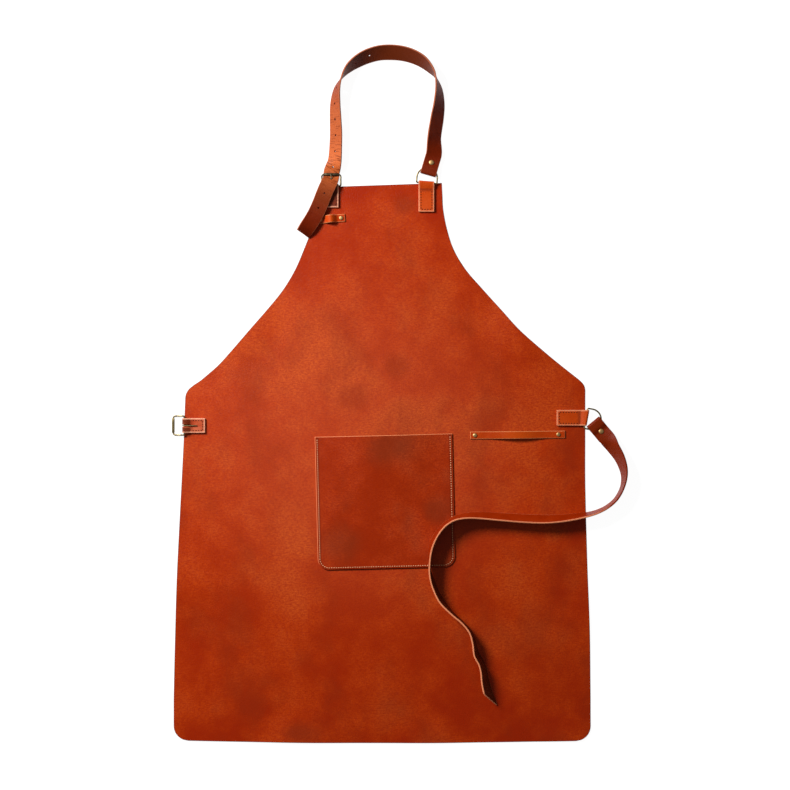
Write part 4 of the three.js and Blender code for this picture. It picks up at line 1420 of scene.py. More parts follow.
@dataclass
class Stations:
    """Measured places along a strap."""

    at: np.ndarray
    across: np.ndarray
    normal: np.ndarray
    length: np.ndarray

    def pick(self, length: float) -> tuple[np.ndarray, np.ndarray]:
        """Middle point and grain-side direction at a length along the strap."""
        normal = points_at(length, self.length, self.normal)
        return points_at(length, self.length, self.at), unit(normal)

    def length_at_height(self, y: float) -> float:
        """Length where the strap's last stretch comes down to a given Y."""
        last = np.nonzero(self.at[:, 1] >= y)[0][-1]
        return float(np.interp(-y, -self.at[last:last + 2, 1], self.length[last:last + 2]))


@dataclass
class RingStrap:
    """A strap folded round a ring, riveted to itself and led along a run of rows."""

    name: str
    node: str
    seat: Seat
    pull: float
    rows: list[Row]
    flat: tuple[float, float]
    held: Held
    tip_cut: float = 0.0
    tip_width: float = 1.0
    steps: int = 7
    columns: int = 12
    hole_radius: float = 1.3
    fold_offset: float = 4.2
    fold_length: float = 31.0
    fold_rivet: float = 19.5
    fold_spring: float = 0.5
    fold_past_rivet: float = 2.0
    fold_flat: float = 180.0
    fold_lean: float = 170.0
    lower_steps: int = 11
    loop_steps: int = 16
    drop_steps: int = 9
    rivet_below: float = 5.0
    rivet_above: float = 15.0

    def ring_middle(self) -> np.ndarray:
        """Flat middle of the ring's arc."""
        bar = np.array([self.seat.x, self.seat.y, 0.0])
        return bar + heading(self.seat.turn + self.seat.skew) * RING_LEG

    def fold(self) -> tuple[np.ndarray, np.ndarray]:
        """Places and cross directions of the fold round the ring."""
        along = heading(self.pull)
        across = np.array([-along[1], along[0], 0])
        start = self.ring_middle() + along * self.fold_offset
        loop = RING_WIRE + GAP + STRAP_THICK / 2
        centre = loop + STRAP_THICK / 2
        lower = RING_HEIGHT - loop
        upper = lower + STRAP_THICK + GAP
        sprung = upper + self.fold_spring
        top = RING_HEIGHT + loop
        apex = RING_RADIUS - self.fold_offset
        flat = np.linspace(self.fold_length, centre, self.lower_steps + 1)[:-1]
        ease = np.linspace(0, 1, self.drop_steps + 1)[1:]
        drop = sprung + (top - upper - self.fold_spring) * (1 - smooth(ease))
        profile = np.vstack([
            np.column_stack([flat, np.full(self.lower_steps, lower)]),
            arc((centre, RING_HEIGHT), loop, -90, -270, self.loop_steps),
            [(apex, top)],
            np.column_stack([apex + (self.fold_rivet - apex) * ease, drop]),
            [(self.fold_rivet + self.fold_past_rivet, sprung)],
        ])
        places = start + profile[:, :1] * along
        places[:, 2] = profile[:, 1]
        return places, np.tile(across, (len(places), 1))

    def stations(self) -> Stations:
        """Follows the fold and the run and measures along them.

        Returns:
            The measured stations.
        """
        places, sides = self.fold()
        along = heading(self.pull)
        last = places[-1]
        leaving = last + along * (self.fold_length - self.fold_rivet)
        lift = last[2] - STRAP_THICK / 2
        lead = [(last[0], last[1], lift, self.fold_flat), (leaving[0], leaving[1], lift, self.fold_lean)]
        knots = np.array(lead + self.rows, float)
        count = (len(knots) - 1) * self.steps
        shares = np.arange(1, count + 1) / count
        flat = np.column_stack([knots[:, :2], np.zeros(len(knots))])
        plan = curve_points(flat, shares)
        ahead = curve_points(flat, np.minimum(shares + SMALL_SHARE, 1))
        behind = curve_points(flat, shares - SMALL_SHARE)
        pose = curve_points(knots[:, [3, 2]], shares)
        run = unit(ahead - behind)
        lean = np.radians(pose[:, :1])
        right = np.column_stack([run[:, 1], -run[:, 0], np.zeros(count)])
        across = right * np.cos(lean) + np.array(UP) * np.sin(lean)
        plan[:, 2] = (pose[:, 1] + STRAP_WIDTH / 2 * np.abs(np.sin(lean[:, 0]))
                      + STRAP_THICK / 2 * np.abs(np.cos(lean[:, 0])))
        at = np.vstack([places, plan])
        across = np.vstack([sides, across])
        run = unit(np.vstack([at[1:2] - at[:1], at[2:] - at[:-2], at[-1:] - at[-2:-1]]))
        across = unit(across - run * np.sum(across * run, axis=1, keepdims=True))
        return Stations(at, across, np.cross(run, across), lengths_along(at) - self.fold_length)

    def band(self, stations: Stations, pull: np.ndarray, rim: np.ndarray) -> bpy.types.Object:
        """Lofts the strap's sheet along its stations.

        Args:
            stations: The measured stations.
            pull: How far the leather takes its tint of painted light and shade at each station, from 0 to 1.
            rim: How far its cut edges show their own shade at each station, from 0 to 1.

        Returns:
            The strap before its holes are punched.
        """
        half = STRAP_WIDTH / 2
        far = np.full(len(stations.length), half)
        if self.tip_cut > 0:
            left = stations.length[-1] - stations.length
            far = np.minimum(half, self.tip_width - half + left / self.tip_cut * STRAP_WIDTH)
        shares = edged_shares(STRAP_WIDTH, STRAP_WIDTH / self.columns)
        side = -half + (far + half)[None, :] * shares[:, None]
        middle = stations.at[None] + stations.across[None] * side[..., None]
        lengths = np.stack([np.broadcast_to(stations.length, side.shape), side], axis=-1)
        painted_light_share = np.broadcast_to(pull, side.shape).copy()
        edges = np.broadcast_to(rim, side.shape).copy()
        return LeatherSheet(self.name, middle, lengths, STRAP_THICK, painted_light_share, rim_share=edges).build()

    def punch(self, piece: bpy.types.Object, stations: Stations, lengths: list[float],
              more: list[bpy.types.Object]) -> None:
        """Punches the strap's holes and its rivet hole.

        Args:
            piece: The strap.
            stations: Its measured stations.
            lengths: Where its holes are.
            more: Other cutters to take out as well.
        """
        cutters = []
        for length in lengths:
            place, normal = stations.pick(length)
            reach = normal * 2 * STRAP_THICK
            cutters.append(round_cutter(place - reach, place + reach, self.hole_radius))
        spot = self.rivet_place()
        low = spot - np.array(UP) * self.rivet_below
        high = spot + np.array(UP) * self.rivet_above
        cutters.append(round_cutter(low, high, POST_RADIUS + GAP))
        cut_with(piece, [joined(cutters, "strap_holes"), *more])

    def rivet_place(self) -> np.ndarray:
        """Flat place of the rivet that holds the fold."""
        return self.ring_middle() + heading(self.pull) * (self.fold_offset + self.fold_rivet)

    def finish(self, piece: bpy.types.Object, material: bpy.types.Material, rests_on: list[str]) -> None:
        """Dresses the strap.

        Args:
            piece: The strap.
            material: Its finish.
            rests_on: Not used.
        """
        dress(piece, material, Body.APRON, Slot.STRAP, self.node)


@dataclass
class NeckStrap(RingStrap):
    """The neck strap, buckled on its left with its tail lying over the bib."""

    hole_spacing: float = 23.7
    holes_before: int = 9
    holes_after: int = 2
    tongue_hole: float = 9.0
    tongue_start: float = 1.0
    tongue_reach: float = 13.0
    tongue_clear: float = 0.4
    left_from: float = 150.0
    # Painted highlight of the key light on the left leg and the top of the tail, by height
    highlight_from: float = 1000.0
    highlight_climb: float = 60.0
    highlight_at: tuple[float, ...] = (790.0, 820.0, 836.0, 850.0, 872.0, 900.0)
    highlight_share: tuple[float, ...] = (0.0, 0.2, 0.5, 0.92, 0.96, 0.62)

    def build(self, palette: Palette) -> bpy.types.Object:
        """Makes the strap, punches its holes and dresses it.

        Args:
            palette: The finishes.

        Returns:
            The strap.
        """
        stations = self.stations()
        # Painted highlight: the left leg and the top of the tail are painted paler where they face the key
        # light
        leg = (stations.at[:, 0] < 0) & (stations.length > self.left_from)
        climb = np.clip((self.highlight_from - stations.at[:, 1]) / self.highlight_climb, 0, 1)
        leg_highlight = np.interp(stations.at[:, 1], self.highlight_at, self.highlight_share)
        piece = self.band(stations, np.where(leg, climb * leg_highlight, 0.0), np.ones(len(leg_highlight)))
        tongue = stations.length_at_height(NECK_BUCKLE.y + self.tongue_hole)
        steps = [step for step in range(-self.holes_before, self.holes_after + 1) if step]
        holes = [tongue + step * self.hole_spacing for step in steps]
        top = BUCKLE_HEIGHT + FRAME_WIRE + GAP + PRONG_WIRE
        start = np.array([NECK_BUCKLE.x, NECK_BUCKLE.y + self.tongue_start, top])
        end = np.array([NECK_BUCKLE.x, NECK_BUCKLE.y + self.tongue_reach, top - PRONG_DROP / 2])
        self.punch(piece, stations, holes, [round_cutter(start, end, PRONG_WIRE + self.tongue_clear)])
        self.finish(piece, palette.strap, ["leather_body"])
        return piece


@dataclass
class WaistStrap(RingStrap):
    """The waist strap, lying on its edge across the floor and the apron to its free end."""

    hole_spacing: float = 24.0
    hole_count: int = 6
    hole_from_tip: float = 50.0
    # Lengths over which the loop's painted shade fades out
    loop_shade_at: tuple[float, float] = (110.0, 200.0)

    def build(self, palette: Palette) -> bpy.types.Object:
        """Makes the strap, punches its holes and dresses it.

        Args:
            palette: The finishes.

        Returns:
            The strap.
        """
        stations = self.stations()
        # Painted shade: the loop over the floor is painted darker, and the pale cut edges show only along
        # the lit run over the apron
        loop_shade = np.interp(stations.length, self.loop_shade_at, (1, 0))
        piece = self.band(stations, loop_shade, 1 - loop_shade)
        tip = stations.length[-1]
        holes = [tip - self.hole_from_tip - step * self.hole_spacing for step in range(self.hole_count)]
        self.punch(piece, stations, holes, [])
        self.finish(piece, palette.waist_strap, ["leather_body"])
        return piece


# Tabs and riveted strips

@dataclass
class FoldedTab:
    """A stitched leather tab folded round a ring's or a buckle's bar."""

    name: str
    node: str
    seat: Seat
    wire: float
    width: float
    worn: bool
    slot_half: float = 0.0
    slot_height: float = 30.0
    # How far past the loop the strap's painted shadow darkens the tab
    strap_shadow_reach: float = 0.0
    dark_fade: float = 3.0
    # Painted shade along the crease where the tab folds
    crease_shade: float = 0.95
    crease_shift: float = 0.6
    crease_reach: float = 1.5
    seam_inset: float = 3.6
    seam_start: float = 1.5
    seam_pitch: float = 4.2
    step: float = 4.0
    column_step: float = 2.5
    end_row: float = 1.2
    loop_steps: int = 18
    rise_steps: int = 6
    rim_columns: int = 2

    def profile(self) -> np.ndarray:
        """Middle line of the fold, from the end of its lower layer to the end of its upper one."""
        loop = self.wire + GAP + TAB_THICK / 2
        turn = arc((0, TAB_LOWER + loop), loop, -90, LOOP_TURN, self.loop_steps)
        low = spaced(-self.seat.length, -CREASE_LENGTH, self.step)
        near = np.sort(np.append(low, self.end_row - self.seat.length))
        lower = np.column_stack([near, np.full(len(near), TAB_LOWER)])
        ease = np.linspace(0, 1, self.rise_steps + 1)[1:-1]
        rise = turn[-1] + (np.array([-CREASE_LENGTH, TAB_UPPER]) - turn[-1]) * ease[:, None]
        rise[:, 1] = turn[-1, 1] + (TAB_UPPER - turn[-1, 1]) * smooth(ease)
        upper = np.column_stack([near[::-1], np.full(len(near), TAB_UPPER)])
        return np.vstack([lower, turn, rise, upper])

    def placed(self, points: np.ndarray) -> np.ndarray:
        """Moves points of the tab's own frame to the layout, with its loop pulled askew.

        Args:
            points: Points with the bar at the origin and the loop along X.

        Returns:
            Points in layout millimetres.
        """
        moved = np.array(points, float)
        moved[..., 1] += self.seat.shift
        share = np.clip(1 + moved[..., 0] / CREASE_LENGTH, 0, 1)
        moved[..., 0] -= math.tan(math.radians(self.seat.skew)) * moved[..., 1] * share
        return turned(moved, self.seat.turn) + np.array([self.seat.x, self.seat.y, 0])

    def seam_line(self) -> np.ndarray:
        """Points of the seam round the free end of the upper layer."""
        half = self.width / 2 - self.seam_inset
        end = -self.seat.length + self.seam_inset
        start = -CREASE_LENGTH - self.seam_start
        top = TAB_UPPER + TAB_THICK / 2
        return np.array([(start, half, top), (end, half, top), (end, -half, top), (start, -half, top)])

    def build(self, palette: Palette, stitches: StitchMaker) -> list[bpy.types.Object]:
        """Makes the tab and its seam and dresses them.

        Args:
            palette: The finishes.
            stitches: The stitch to sew with.

        Returns:
            The tab and its seam.
        """
        side = self.width * (MIDDLE - edged_shares(self.width, self.column_step))
        grid, lengths = profile_grid(self.profile(), side)
        piece = LeatherSheet(self.name, self.placed(grid), lengths, TAB_THICK, self._painted_shade(grid),
                             rim_reach=self.rim_columns).build()
        if self.slot_half > 0:
            self._cut_slot(piece)
        dress(piece, palette.worn_tab if self.worn else palette.tab, Body.APRON, Slot.TAB, self.node)
        corners = self.seam_line()
        laid = [along_line(np.array(pair), self.seam_pitch) for pair in zip(corners, corners[1:])]
        places = self.placed(np.vstack([places for places, _ in laid]))
        runs = turned(np.vstack([runs for _, runs in laid]), self.seat.turn)
        seam = stitches.seam(self.name + "_stitches", places, runs)
        dress(seam, palette.dark_thread, Body.APRON, Slot.TAB)
        return [piece, seam]

    def _painted_shade(self, grid: np.ndarray) -> np.ndarray:
        """How far the tab is painted darker at each point.

        Args:
            grid: Points with the bar at the origin and the loop along X.

        Returns:
            Shares from 0 to 1: high all over a worn tab's loop and, on the neck buckle's tab, across the
                strap's painted shadow; on a newer tab, painted crease shade along the crease.
        """
        along = grid[..., 0] + CREASE_LENGTH
        if self.worn:
            # A worn tab is darker over its loop, and further on where a painted shadow falls
            return np.clip((along + self.strap_shadow_reach) / self.dark_fade + MIDDLE, 0, 1)
        # Painted crease shade
        return self.crease_shade * np.exp(-((along - self.crease_shift) / self.crease_reach) ** 2)

    def _cut_slot(self, piece: bpy.types.Object) -> None:
        """Cuts the slot that a prong swings through.

        Args:
            piece: The tab.
        """
        bpy.ops.object.select_all(action="DESELECT")
        place = Vector((self.seat.x, self.seat.y, BUCKLE_HEIGHT)) * MM + ORIGIN
        spin = (0, 0, math.radians(self.seat.turn))
        bpy.ops.mesh.primitive_cube_add(size=1, location=place, rotation=spin)
        cutter = bpy.context.object
        cutter.scale = (2 * CREASE_LENGTH * MM, 2 * self.slot_half * MM, self.slot_height * MM)
        bpy.ops.object.transform_apply(location=True, rotation=True, scale=True)
        cut_with(piece, [cutter])


@dataclass
class BowedStrip:
    """A riveted strip of leather that bows up off the apron between its rivets."""

    name: str
    node: str
    x: float
    y: float
    turn: float
    length: float
    width: float
    rivets: tuple[float, float]
    bow: float
    rise: float
    # Share of painted highlight along the bow
    painted_light_share: float = 0.45
    step: float = 2.0
    end_row: float = 1.2
    end_band: float = 2.5
    punch_reach: float = 12.0

    def rivet_places(self) -> list[np.ndarray]:
        """Flat places of its two rivets."""
        return [np.array([self.x, self.y, 0.0]) + heading(self.turn) * far for far in self.rivets]

    def build(self, palette: Palette) -> bpy.types.Object:
        """Makes the strip, punches its rivet holes and dresses it.

        Args:
            palette: The finishes.

        Returns:
            The strip.
        """
        half = self.length / 2
        inner = spaced(self.end_band - half, half - self.end_band, self.step)
        along = np.concatenate([[-half, self.end_row - half], inner, [half - self.end_row, half]])
        share = np.clip(along / self.bow, -1, 1)
        arch = np.cos(share * math.pi / 2) ** 2
        side = self.width * (edged_shares(self.width, self.step) - MIDDLE)
        grid, lengths = profile_grid(np.column_stack([along, TAB_LOWER + self.rise * arch]), side)
        middle = turned(grid, self.turn) + np.array([self.x, self.y, 0])
        # Painted highlight: the bow is painted paler where it rises towards the light
        pull = np.broadcast_to(self.painted_light_share * arch[None, :], grid.shape[:2]).copy()
        piece = LeatherSheet(self.name, middle, lengths, TAB_THICK, pull).build()
        cutters = []
        for place in self.rivet_places():
            high = place + np.array(UP) * self.punch_reach
            cutters.append(round_cutter(place, high, POST_RADIUS + GAP))
        cut_with(piece, [joined(cutters, "strip_holes")])
        dress(piece, palette.strip, Body.APRON, Slot.TAB, self.node)
        return piece


# Metal fittings

class WireBender:
    """Bends a round wire by extruding and spinning its end, as at a bench."""

    def __init__(self, name: str, radius: float, start: Vector, direction: Vector, sides: int = 14) -> None:
        """Starts a wire with a ring of points.

        Args:
            name: Name of the new piece.
            radius: Radius of the wire in millimetres.
            start: Where it starts, in the fitting's own frame.
            direction: Which way it starts off.
            sides: Number of sides of the wire.
        """
        bpy.ops.object.select_all(action="DESELECT")
        bpy.ops.mesh.primitive_circle_add(
            vertices=sides, radius=radius * MM, location=start * MM,
            rotation=direction.to_track_quat("Z", "Y").to_euler())
        bpy.ops.object.transform_apply(location=True, rotation=True, scale=True)
        self.piece = bpy.context.object
        self.piece.name = name
        self.piece.data.name = name
        bpy.ops.object.mode_set(mode="EDIT")
        bpy.ops.mesh.select_mode(type="VERT")
        bpy.ops.mesh.select_all(action="SELECT")

    def forward(self, step: Vector, parts: int = 1) -> None:
        """Draws the wire straight on in equal parts."""
        for _ in range(parts):
            bpy.ops.mesh.extrude_region_move(TRANSFORM_OT_translate={"value": step * MM / parts})

    def bend(self, centre: Vector, axis: Vector, degrees: float, steps: int) -> None:
        """Bends the wire round a centre; a positive angle turns left about the axis."""
        bpy.ops.mesh.spin(steps=steps, angle=-math.radians(degrees), center=centre * MM, axis=axis)

    def pinch(self, share: float, centre: Vector) -> None:
        """Narrows the wire's end."""
        bpy.ops.transform.resize(value=(share, share, share), center_override=centre * MM)

    def swell(self, test: Callable[[Vector], bool], scale: XYZ, centre: Vector) -> None:
        """Scales the points that pass a test about a centre.

        Args:
            test: Tells from a point in millimetres whether it is scaled.
            scale: Scale along each axis.
            centre: The fixed point.
        """
        bpy.ops.mesh.select_all(action="DESELECT")
        bpy.ops.object.mode_set(mode="OBJECT")
        for vertex in self.piece.data.vertices:
            vertex.select = test(vertex.co / MM)
        bpy.ops.object.mode_set(mode="EDIT")
        bpy.ops.transform.resize(value=scale, center_override=centre * MM)

    def cap(self) -> None:
        """Closes the wire's end with a face."""
        bpy.ops.mesh.edge_face_add()

    def close(self, place: Vector, turn: float, tilt: float = 0.0) -> bpy.types.Object:
        """Welds the wire, points its faces outwards and sets it in its place.

        Args:
            place: Where the fitting's own origin goes, in layout millimetres.
            turn: Turn about the vertical axis in degrees.
            tilt: Turn about the fitting's own bar in degrees, made first.

        Returns:
            The finished fitting.
        """
        bpy.ops.mesh.select_all(action="SELECT")
        bpy.ops.mesh.remove_doubles(threshold=WIRE_WELD * MM)
        bpy.ops.mesh.normals_make_consistent(inside=False)
        bpy.ops.object.mode_set(mode="OBJECT")
        select_only(self.piece)
        spin = Matrix.Rotation(math.radians(turn), 4, "Z") @ Matrix.Rotation(math.radians(tilt), 4, "Y")
        self.piece.matrix_world = Matrix.Translation(place * MM + ORIGIN) @ spin
        bpy.ops.object.transform_apply(location=True, rotation=True, scale=True)
        bpy.ops.object.shade_smooth_by_angle(angle=SMOOTH_ANGLE)
        return self.piece


@dataclass
class DRing:
    """A D-shaped ring of brass wire with its bar inside a tab."""

    name: str
    node: str
    seat: Seat
    arc_steps: int = 36

    def build(self, palette: Palette) -> bpy.types.Object:
        """Bends the ring from wire and dresses it.

        Args:
            palette: The finishes.

        Returns:
            The ring.
        """
        inner = RING_RADIUS - RING_CORNER
        wire = WireBender(self.name, RING_WIRE, Vector((0, 0, 0)), Vector((0, -1, 0)))
        wire.forward(Vector((0, -inner, 0)))
        wire.bend(Vector((RING_CORNER, -inner, 0)), UP, 90, WIRE_CORNER_STEPS)
        wire.forward(Vector((RING_LEG - RING_CORNER, 0, 0)))
        wire.bend(Vector((RING_LEG, 0, 0)), UP, 180, self.arc_steps)
        wire.forward(Vector((RING_CORNER - RING_LEG, 0, 0)))
        wire.bend(Vector((RING_CORNER, inner, 0)), UP, 90, WIRE_CORNER_STEPS)
        wire.forward(Vector((0, -inner, 0)))
        ring = wire.close(Vector((self.seat.x, self.seat.y, RING_HEIGHT)), self.seat.turn + self.seat.skew)
        dress(ring, palette.ring, Body.APRON, Slot.BRASS, self.node)
        return ring


@dataclass
class Buckle:
    """A strap buckle: a wire frame with a wider outer bar, and a prong on its inner bar."""

    name: str
    seat: Seat
    tilt: float
    prong_side: int
    frame_body: Body
    prong_body: Body
    slot: Slot
    corner_steps: int = 8
    bar_parts: int = 4
    bar_margin: float = 0.5
    prong_sides: int = 12
    eye_steps: int = 22
    tongue_parts: int = 3
    tongue_straight: float = 0.9
    tongue_tip: tuple[Span, ...] = ((0.08, 0.75), (0.02, 0.5))

    def build(self, material: bpy.types.Material) -> list[bpy.types.Object]:
        """Bends the frame and the prong and dresses them.

        Args:
            material: The metal.

        Returns:
            The frame and the prong.
        """
        frame_piece = self._frame()
        dress(frame_piece, material, self.frame_body, self.slot, self.name + "_frame")
        prong = self._prong()
        dress(prong, material, self.prong_body, self.slot, self.name + "_prong")
        return [frame_piece, prong]

    def _frame(self) -> bpy.types.Object:
        """Bends the frame from wire and flattens its outer bar."""
        inner = FRAME_HALF_WIDTH - RING_CORNER
        corner = FRAME_HALF_WIDTH - FRAME_CORNER
        far = FRAME_DEPTH - FRAME_CORNER
        wire = WireBender(self.name + "_bent_frame", FRAME_WIRE, Vector((0, 0, 0)), Vector((0, -1, 0)))
        wire.forward(Vector((0, -inner, 0)))
        wire.bend(Vector((RING_CORNER, -inner, 0)), UP, 90, WIRE_CORNER_STEPS)
        wire.forward(Vector((far - RING_CORNER, 0, 0)))
        wire.bend(Vector((far, -corner, 0)), UP, 90, self.corner_steps)
        wire.forward(Vector((0, 2 * corner, 0)), self.bar_parts)
        wire.bend(Vector((far, corner, 0)), UP, 90, self.corner_steps)
        wire.forward(Vector((RING_CORNER - far, 0, 0)))
        wire.bend(Vector((RING_CORNER, inner, 0)), UP, 90, WIRE_CORNER_STEPS)
        wire.forward(Vector((0, -inner, 0)))
        bar = Vector((FRAME_DEPTH, 0, 0))
        scale = (FRAME_BAR_HALF_WIDTH / FRAME_WIRE, 1.0, FRAME_BAR_HALF_HEIGHT / FRAME_WIRE)
        reach = corner + self.bar_margin
        wire.swell(lambda point: point.x > far and abs(point.y) < reach, scale, bar)
        return wire.close(Vector((self.seat.x, self.seat.y, BUCKLE_HEIGHT)), self.seat.turn, self.tilt)

    def _prong(self) -> bpy.types.Object:
        """Bends the prong's eye round the bar and draws out its tongue."""
        eye = FRAME_WIRE + GAP + PRONG_WIRE
        side = self.prong_side
        start = math.radians(EYE_START)
        begin = Vector((side * eye * math.cos(start), 0, eye * math.sin(start)))
        tangent = Vector((side * math.sin(start), 0, -math.cos(start)))
        wire = WireBender(self.name + "_bent_prong", PRONG_WIRE, begin, tangent, self.prong_sides)
        wire.cap()
        wire.bend(Vector((0, 0, 0)), Vector((0, 1, 0)), side * (EYE_START - EYE_END), self.eye_steps)
        tongue = Vector((side * PRONG_LENGTH, 0, -PRONG_DROP))
        wire.forward(tongue * self.tongue_straight, self.tongue_parts)
        done = self.tongue_straight
        for share, narrowed in self.tongue_tip:
            wire.forward(tongue * share)
            done += share
            wire.pinch(narrowed, UP * eye + tongue * done)
        return wire.close(Vector((self.seat.x, self.seat.y, BUCKLE_HEIGHT)), self.seat.turn)


# Share of the cap's radius and of the dome's height, from its rim up
RIVET_DOME: tuple[Span, ...] = (
    (1.0, 0.12), (0.985, 0.34), (0.93, 0.55), (0.82, 0.74), (0.66, 0.88), (0.46, 0.96), (0.22, 0.995),
)
# Radius and dome of the caps, and radius of the strap rivets' feet, in millimetres
STRAP_CAP: Span = (3.9, 1.7)
STRAP_FOOT = 3.0
STRIP_CAP: Span = (3.2, 1.4)


@dataclass
class Rivet:
    """A domed brass rivet on a post, with a foot where it is set through a fold."""

    name: str
    node: str
    place: np.ndarray
    cap: float
    dome: float
    seat: float
    foot: float
    foot_radius: float
    underside: float = 0.97
    sides: int = 24

    def build(self, palette: Palette) -> bpy.types.Object:
        """Draws the rivet up from a disc and dresses it.

        Args:
            palette: The finishes.

        Returns:
            The rivet.
        """
        middle = Vector(self.place) * MM + ORIGIN
        bpy.ops.object.select_all(action="DESELECT")
        bpy.ops.mesh.primitive_circle_add(
            vertices=self.sides, radius=self.foot_radius * MM, fill_type="NGON",
            location=middle + Vector((0, 0, self.foot * MM)))
        bpy.ops.object.transform_apply(location=True, rotation=True, scale=True)
        piece = bpy.context.object
        piece.name = self.name
        piece.data.name = self.name
        bpy.ops.object.mode_set(mode="EDIT")
        bpy.ops.mesh.select_mode(type="FACE")
        bpy.ops.mesh.select_all(action="SELECT")
        radius = self.foot_radius
        height = self.foot
        levels = [(self.foot_radius, self.foot + FOOT_THICK), (POST_RADIUS, self.foot + FOOT_THICK),
                  (POST_RADIUS, self.seat), (self.cap * self.underside, self.seat)]
        levels += [(self.cap * share, self.seat + self.dome * rise) for share, rise in RIVET_DOME]
        for next_radius, next_height in levels:
            bpy.ops.mesh.extrude_region_move(
                TRANSFORM_OT_translate={"value": (0, 0, (next_height - height) * MM)})
            share = next_radius / radius
            bpy.ops.transform.resize(
                value=(share, share, 1), center_override=middle + Vector((0, 0, next_height * MM)))
            radius = next_radius
            height = next_height
        bpy.ops.mesh.select_all(action="SELECT")
        bpy.ops.mesh.remove_doubles(threshold=RIVET_WELD * MM)
        bpy.ops.mesh.normals_make_consistent(inside=False)
        bpy.ops.object.mode_set(mode="OBJECT")
        bpy.ops.object.shade_smooth_by_angle(angle=SMOOTH_ANGLE)
        dress(piece, palette.cap, Body.APRON, Slot.BRASS, self.node)
        return piece


# Stage, light and camera

@dataclass
class Studio:
    """A plain white floor, one soft key light with a little fill, and the camera straight above."""

    floor_size: float = 40.0
    camera_place: XYZ = (-0.00585, -0.00066, 2.3)
    camera_clip: Span = (0.05, 50.0)
    seen_width: float = 1.185
    sensor: float = 36.0
    key_place: XYZ = (-1.25, 0.95, 1.25)
    key_size: float = 0.7
    key_power: float = 62.0
    fill_strength: float = 0.16
    floor_shade: float = 0.2
    floor_roughness: float = 0.9
    floor_gloss: float = 0.1
    floor_glow: float = 0.95

    def floor(self) -> bpy.types.Object:
        """Lays the floor."""
        bpy.ops.object.select_all(action="DESELECT")
        bpy.ops.mesh.primitive_plane_add(size=self.floor_size)
        floor = bpy.context.object
        floor.name = "floor"
        material, desk, shader = start_material("white_floor")
        desk.fill(shader, {
            "Base Color": (self.floor_shade, self.floor_shade, self.floor_shade, 1),
            "Roughness": self.floor_roughness,
            "Specular IOR Level": self.floor_gloss,
            "Emission Color": (1, 1, 1, 1),
            "Emission Strength": self.floor_glow,
        })
        floor.data.materials.append(material)
        return floor

    def lights(self) -> None:
        """Sets the key light, the fill and how light is shown."""
        lamp = bpy.data.lights.new("key", "AREA")
        lamp.shape = "DISK"
        lamp.size = self.key_size
        lamp.energy = self.key_power
        key = linked("key", lamp)
        key.location = self.key_place
        key.rotation_euler = (-Vector(self.key_place)).to_track_quat("-Z", "Y").to_euler()
        world = bpy.data.worlds.new("studio")
        bpy.context.scene.world = world
        world.use_nodes = True
        back = world.node_tree.nodes["Background"]
        back.inputs["Color"].default_value = (1, 1, 1, 1)
        back.inputs["Strength"].default_value = self.fill_strength
        bpy.context.scene.view_settings.view_transform = "Standard"

    def camera(self) -> None:
        """Hangs the camera straight above the apron."""
        data = bpy.data.cameras.new("camera")
        data.sensor_width = self.sensor
        data.lens = self.sensor * self.camera_place[2] / self.seen_width
        data.clip_start, data.clip_end = self.camera_clip
        camera = linked("camera", data)
        camera.location = self.camera_place
        bpy.context.scene.camera = camera


def build_fittings(palette: Palette) -> None:
    """Builds the rings, the buckles and their prongs.

    Args:
        palette: The finishes.
    """
    DRing("neck_ring", "neck_d_ring", NECK_RING).build(palette)
    DRing("waist_ring", "waist_d_ring", WAIST_RING).build(palette)
    Buckle("neck_buckle", NECK_BUCKLE, NECK_FRAME_TILT, 1, Body.APRON, Body.APRON,
           Slot.BRONZE).build(palette.bronze)
    Buckle("waist_buckle", WAIST_BUCKLE, WAIST_FRAME_TILT, -1, Body.WAIST_BUCKLE, Body.WAIST_PRONG,
           Slot.BRASS).build(palette.ring)


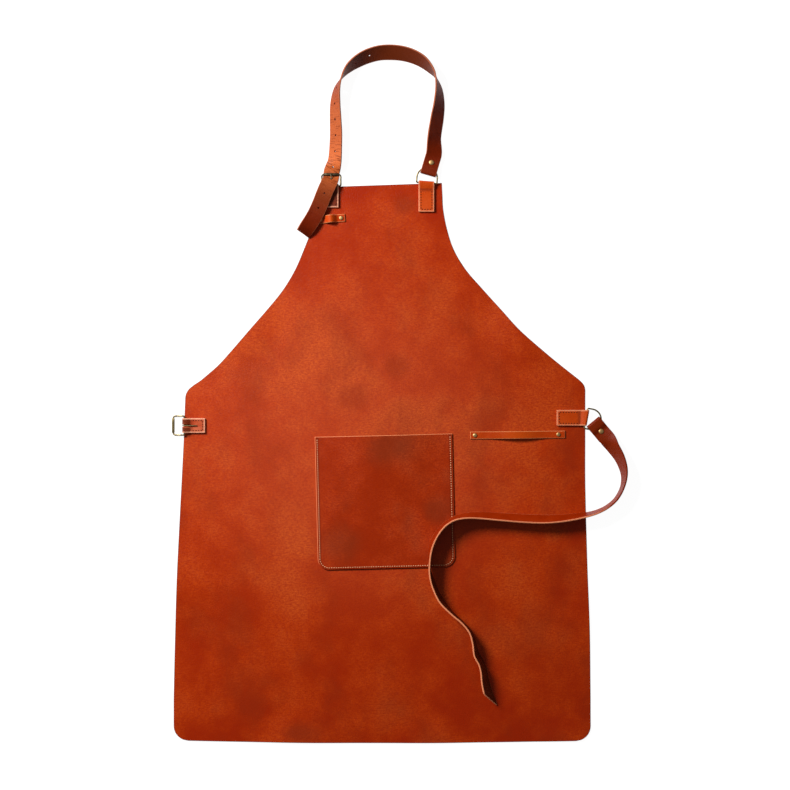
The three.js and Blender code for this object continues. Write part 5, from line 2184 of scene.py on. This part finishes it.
def build_rivets(palette: Palette, straps: list[RingStrap], strips: list[BowedStrip]) -> None:
    """Builds the rivets of the strap folds and of the riveted strips.

    Args:
        palette: The finishes.
        straps: The folded straps.
        strips: The riveted strips.
    """
    lower = RING_HEIGHT - RING_WIRE - GAP - STRAP_THICK
    seat = lower + 2 * STRAP_THICK + GAP + CAP_GAP + RingStrap.fold_spring
    for strap, label in zip(straps, ("neck_strap", "waist_strap")):
        Rivet(label + "_cap", label + "_rivet", strap.rivet_place(), *STRAP_CAP, seat,
              lower - FOOT_THICK - CAP_GAP, STRAP_FOOT).build(palette)
    seat = BODY_THICK + GAP + TAB_THICK + CAP_GAP
    for strip, label in zip(strips, ("tool", "keeper")):
        for place, side in zip(strip.rivet_places(), ("left", "right")):
            Rivet(f"{label}_cap_{side}", f"{label}_rivet_{side}", place, *STRIP_CAP, seat, CAP_GAP,
                  POST_RADIUS).build(palette)


def main() -> None:
    """Builds the stage and every piece of the apron in order."""
    logging.basicConfig(level=logging.INFO, format="%(message)s")
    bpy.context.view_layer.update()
    studio = Studio()
    studio.camera()
    studio.lights()
    floor = studio.floor()
    palette = Palette(Effects())
    fine = StitchMaker(2.3, 1.4, 0.9)
    coarse = StitchMaker(2.6, 1.4, 0.7)
    ApronBody().build(palette, floor)
    FrontPocket().build(palette, fine)
    neck = NeckStrap("neck_band", "neck_strap", NECK_RING, 74.0, NECK_RUN, (0.024, 0.595), Held.FOLDED)
    neck.build(palette)
    waist = WaistStrap("waist_band", "waist_strap", WAIST_RING, -50.0, WAIST_RUN, (0.024, 0.70), Held.FOLDED,
                       tip_cut=26.0)
    waist.build(palette)
    tabs = [
        FoldedTab("neck_ring_fold", "neck_ring_tab", NECK_RING, RING_WIRE, RING_TAB_WIDTH, False),
        FoldedTab("waist_ring_fold", "waist_ring_tab", WAIST_RING, RING_WIRE, RING_TAB_WIDTH, False),
        # The neck buckle's tab is painted dark all over as the neck strap's shadow
        FoldedTab("neck_buckle_fold", "neck_buckle_tab", NECK_BUCKLE, FRAME_WIRE, BUCKLE_TAB_WIDTH, True,
                  SLOT_HALF, strap_shadow_reach=NECK_BUCKLE.length),
        FoldedTab("waist_buckle_fold", "waist_buckle_tab", WAIST_BUCKLE, FRAME_WIRE, BUCKLE_TAB_WIDTH, True,
                  SLOT_HALF),
    ]
    for tab in tabs:
        tab.build(palette, coarse)
    tool = BowedStrip("tool_loop", "tool_strap", 202.5, 461.5, 0.6, 142, 11, (-64, 61), 51, 5.5)
    tool.build(palette)
    keeper = BowedStrip("keeper_loop", "strap_keeper", -77.5, 785, 5, 43, 11.5, (-15.5, 15.5), 11, 6.8)
    keeper.build(palette)
    build_fittings(palette)
    build_rivets(palette, [neck, waist], [tool, keeper])


if __name__ == "__main__":
    main()
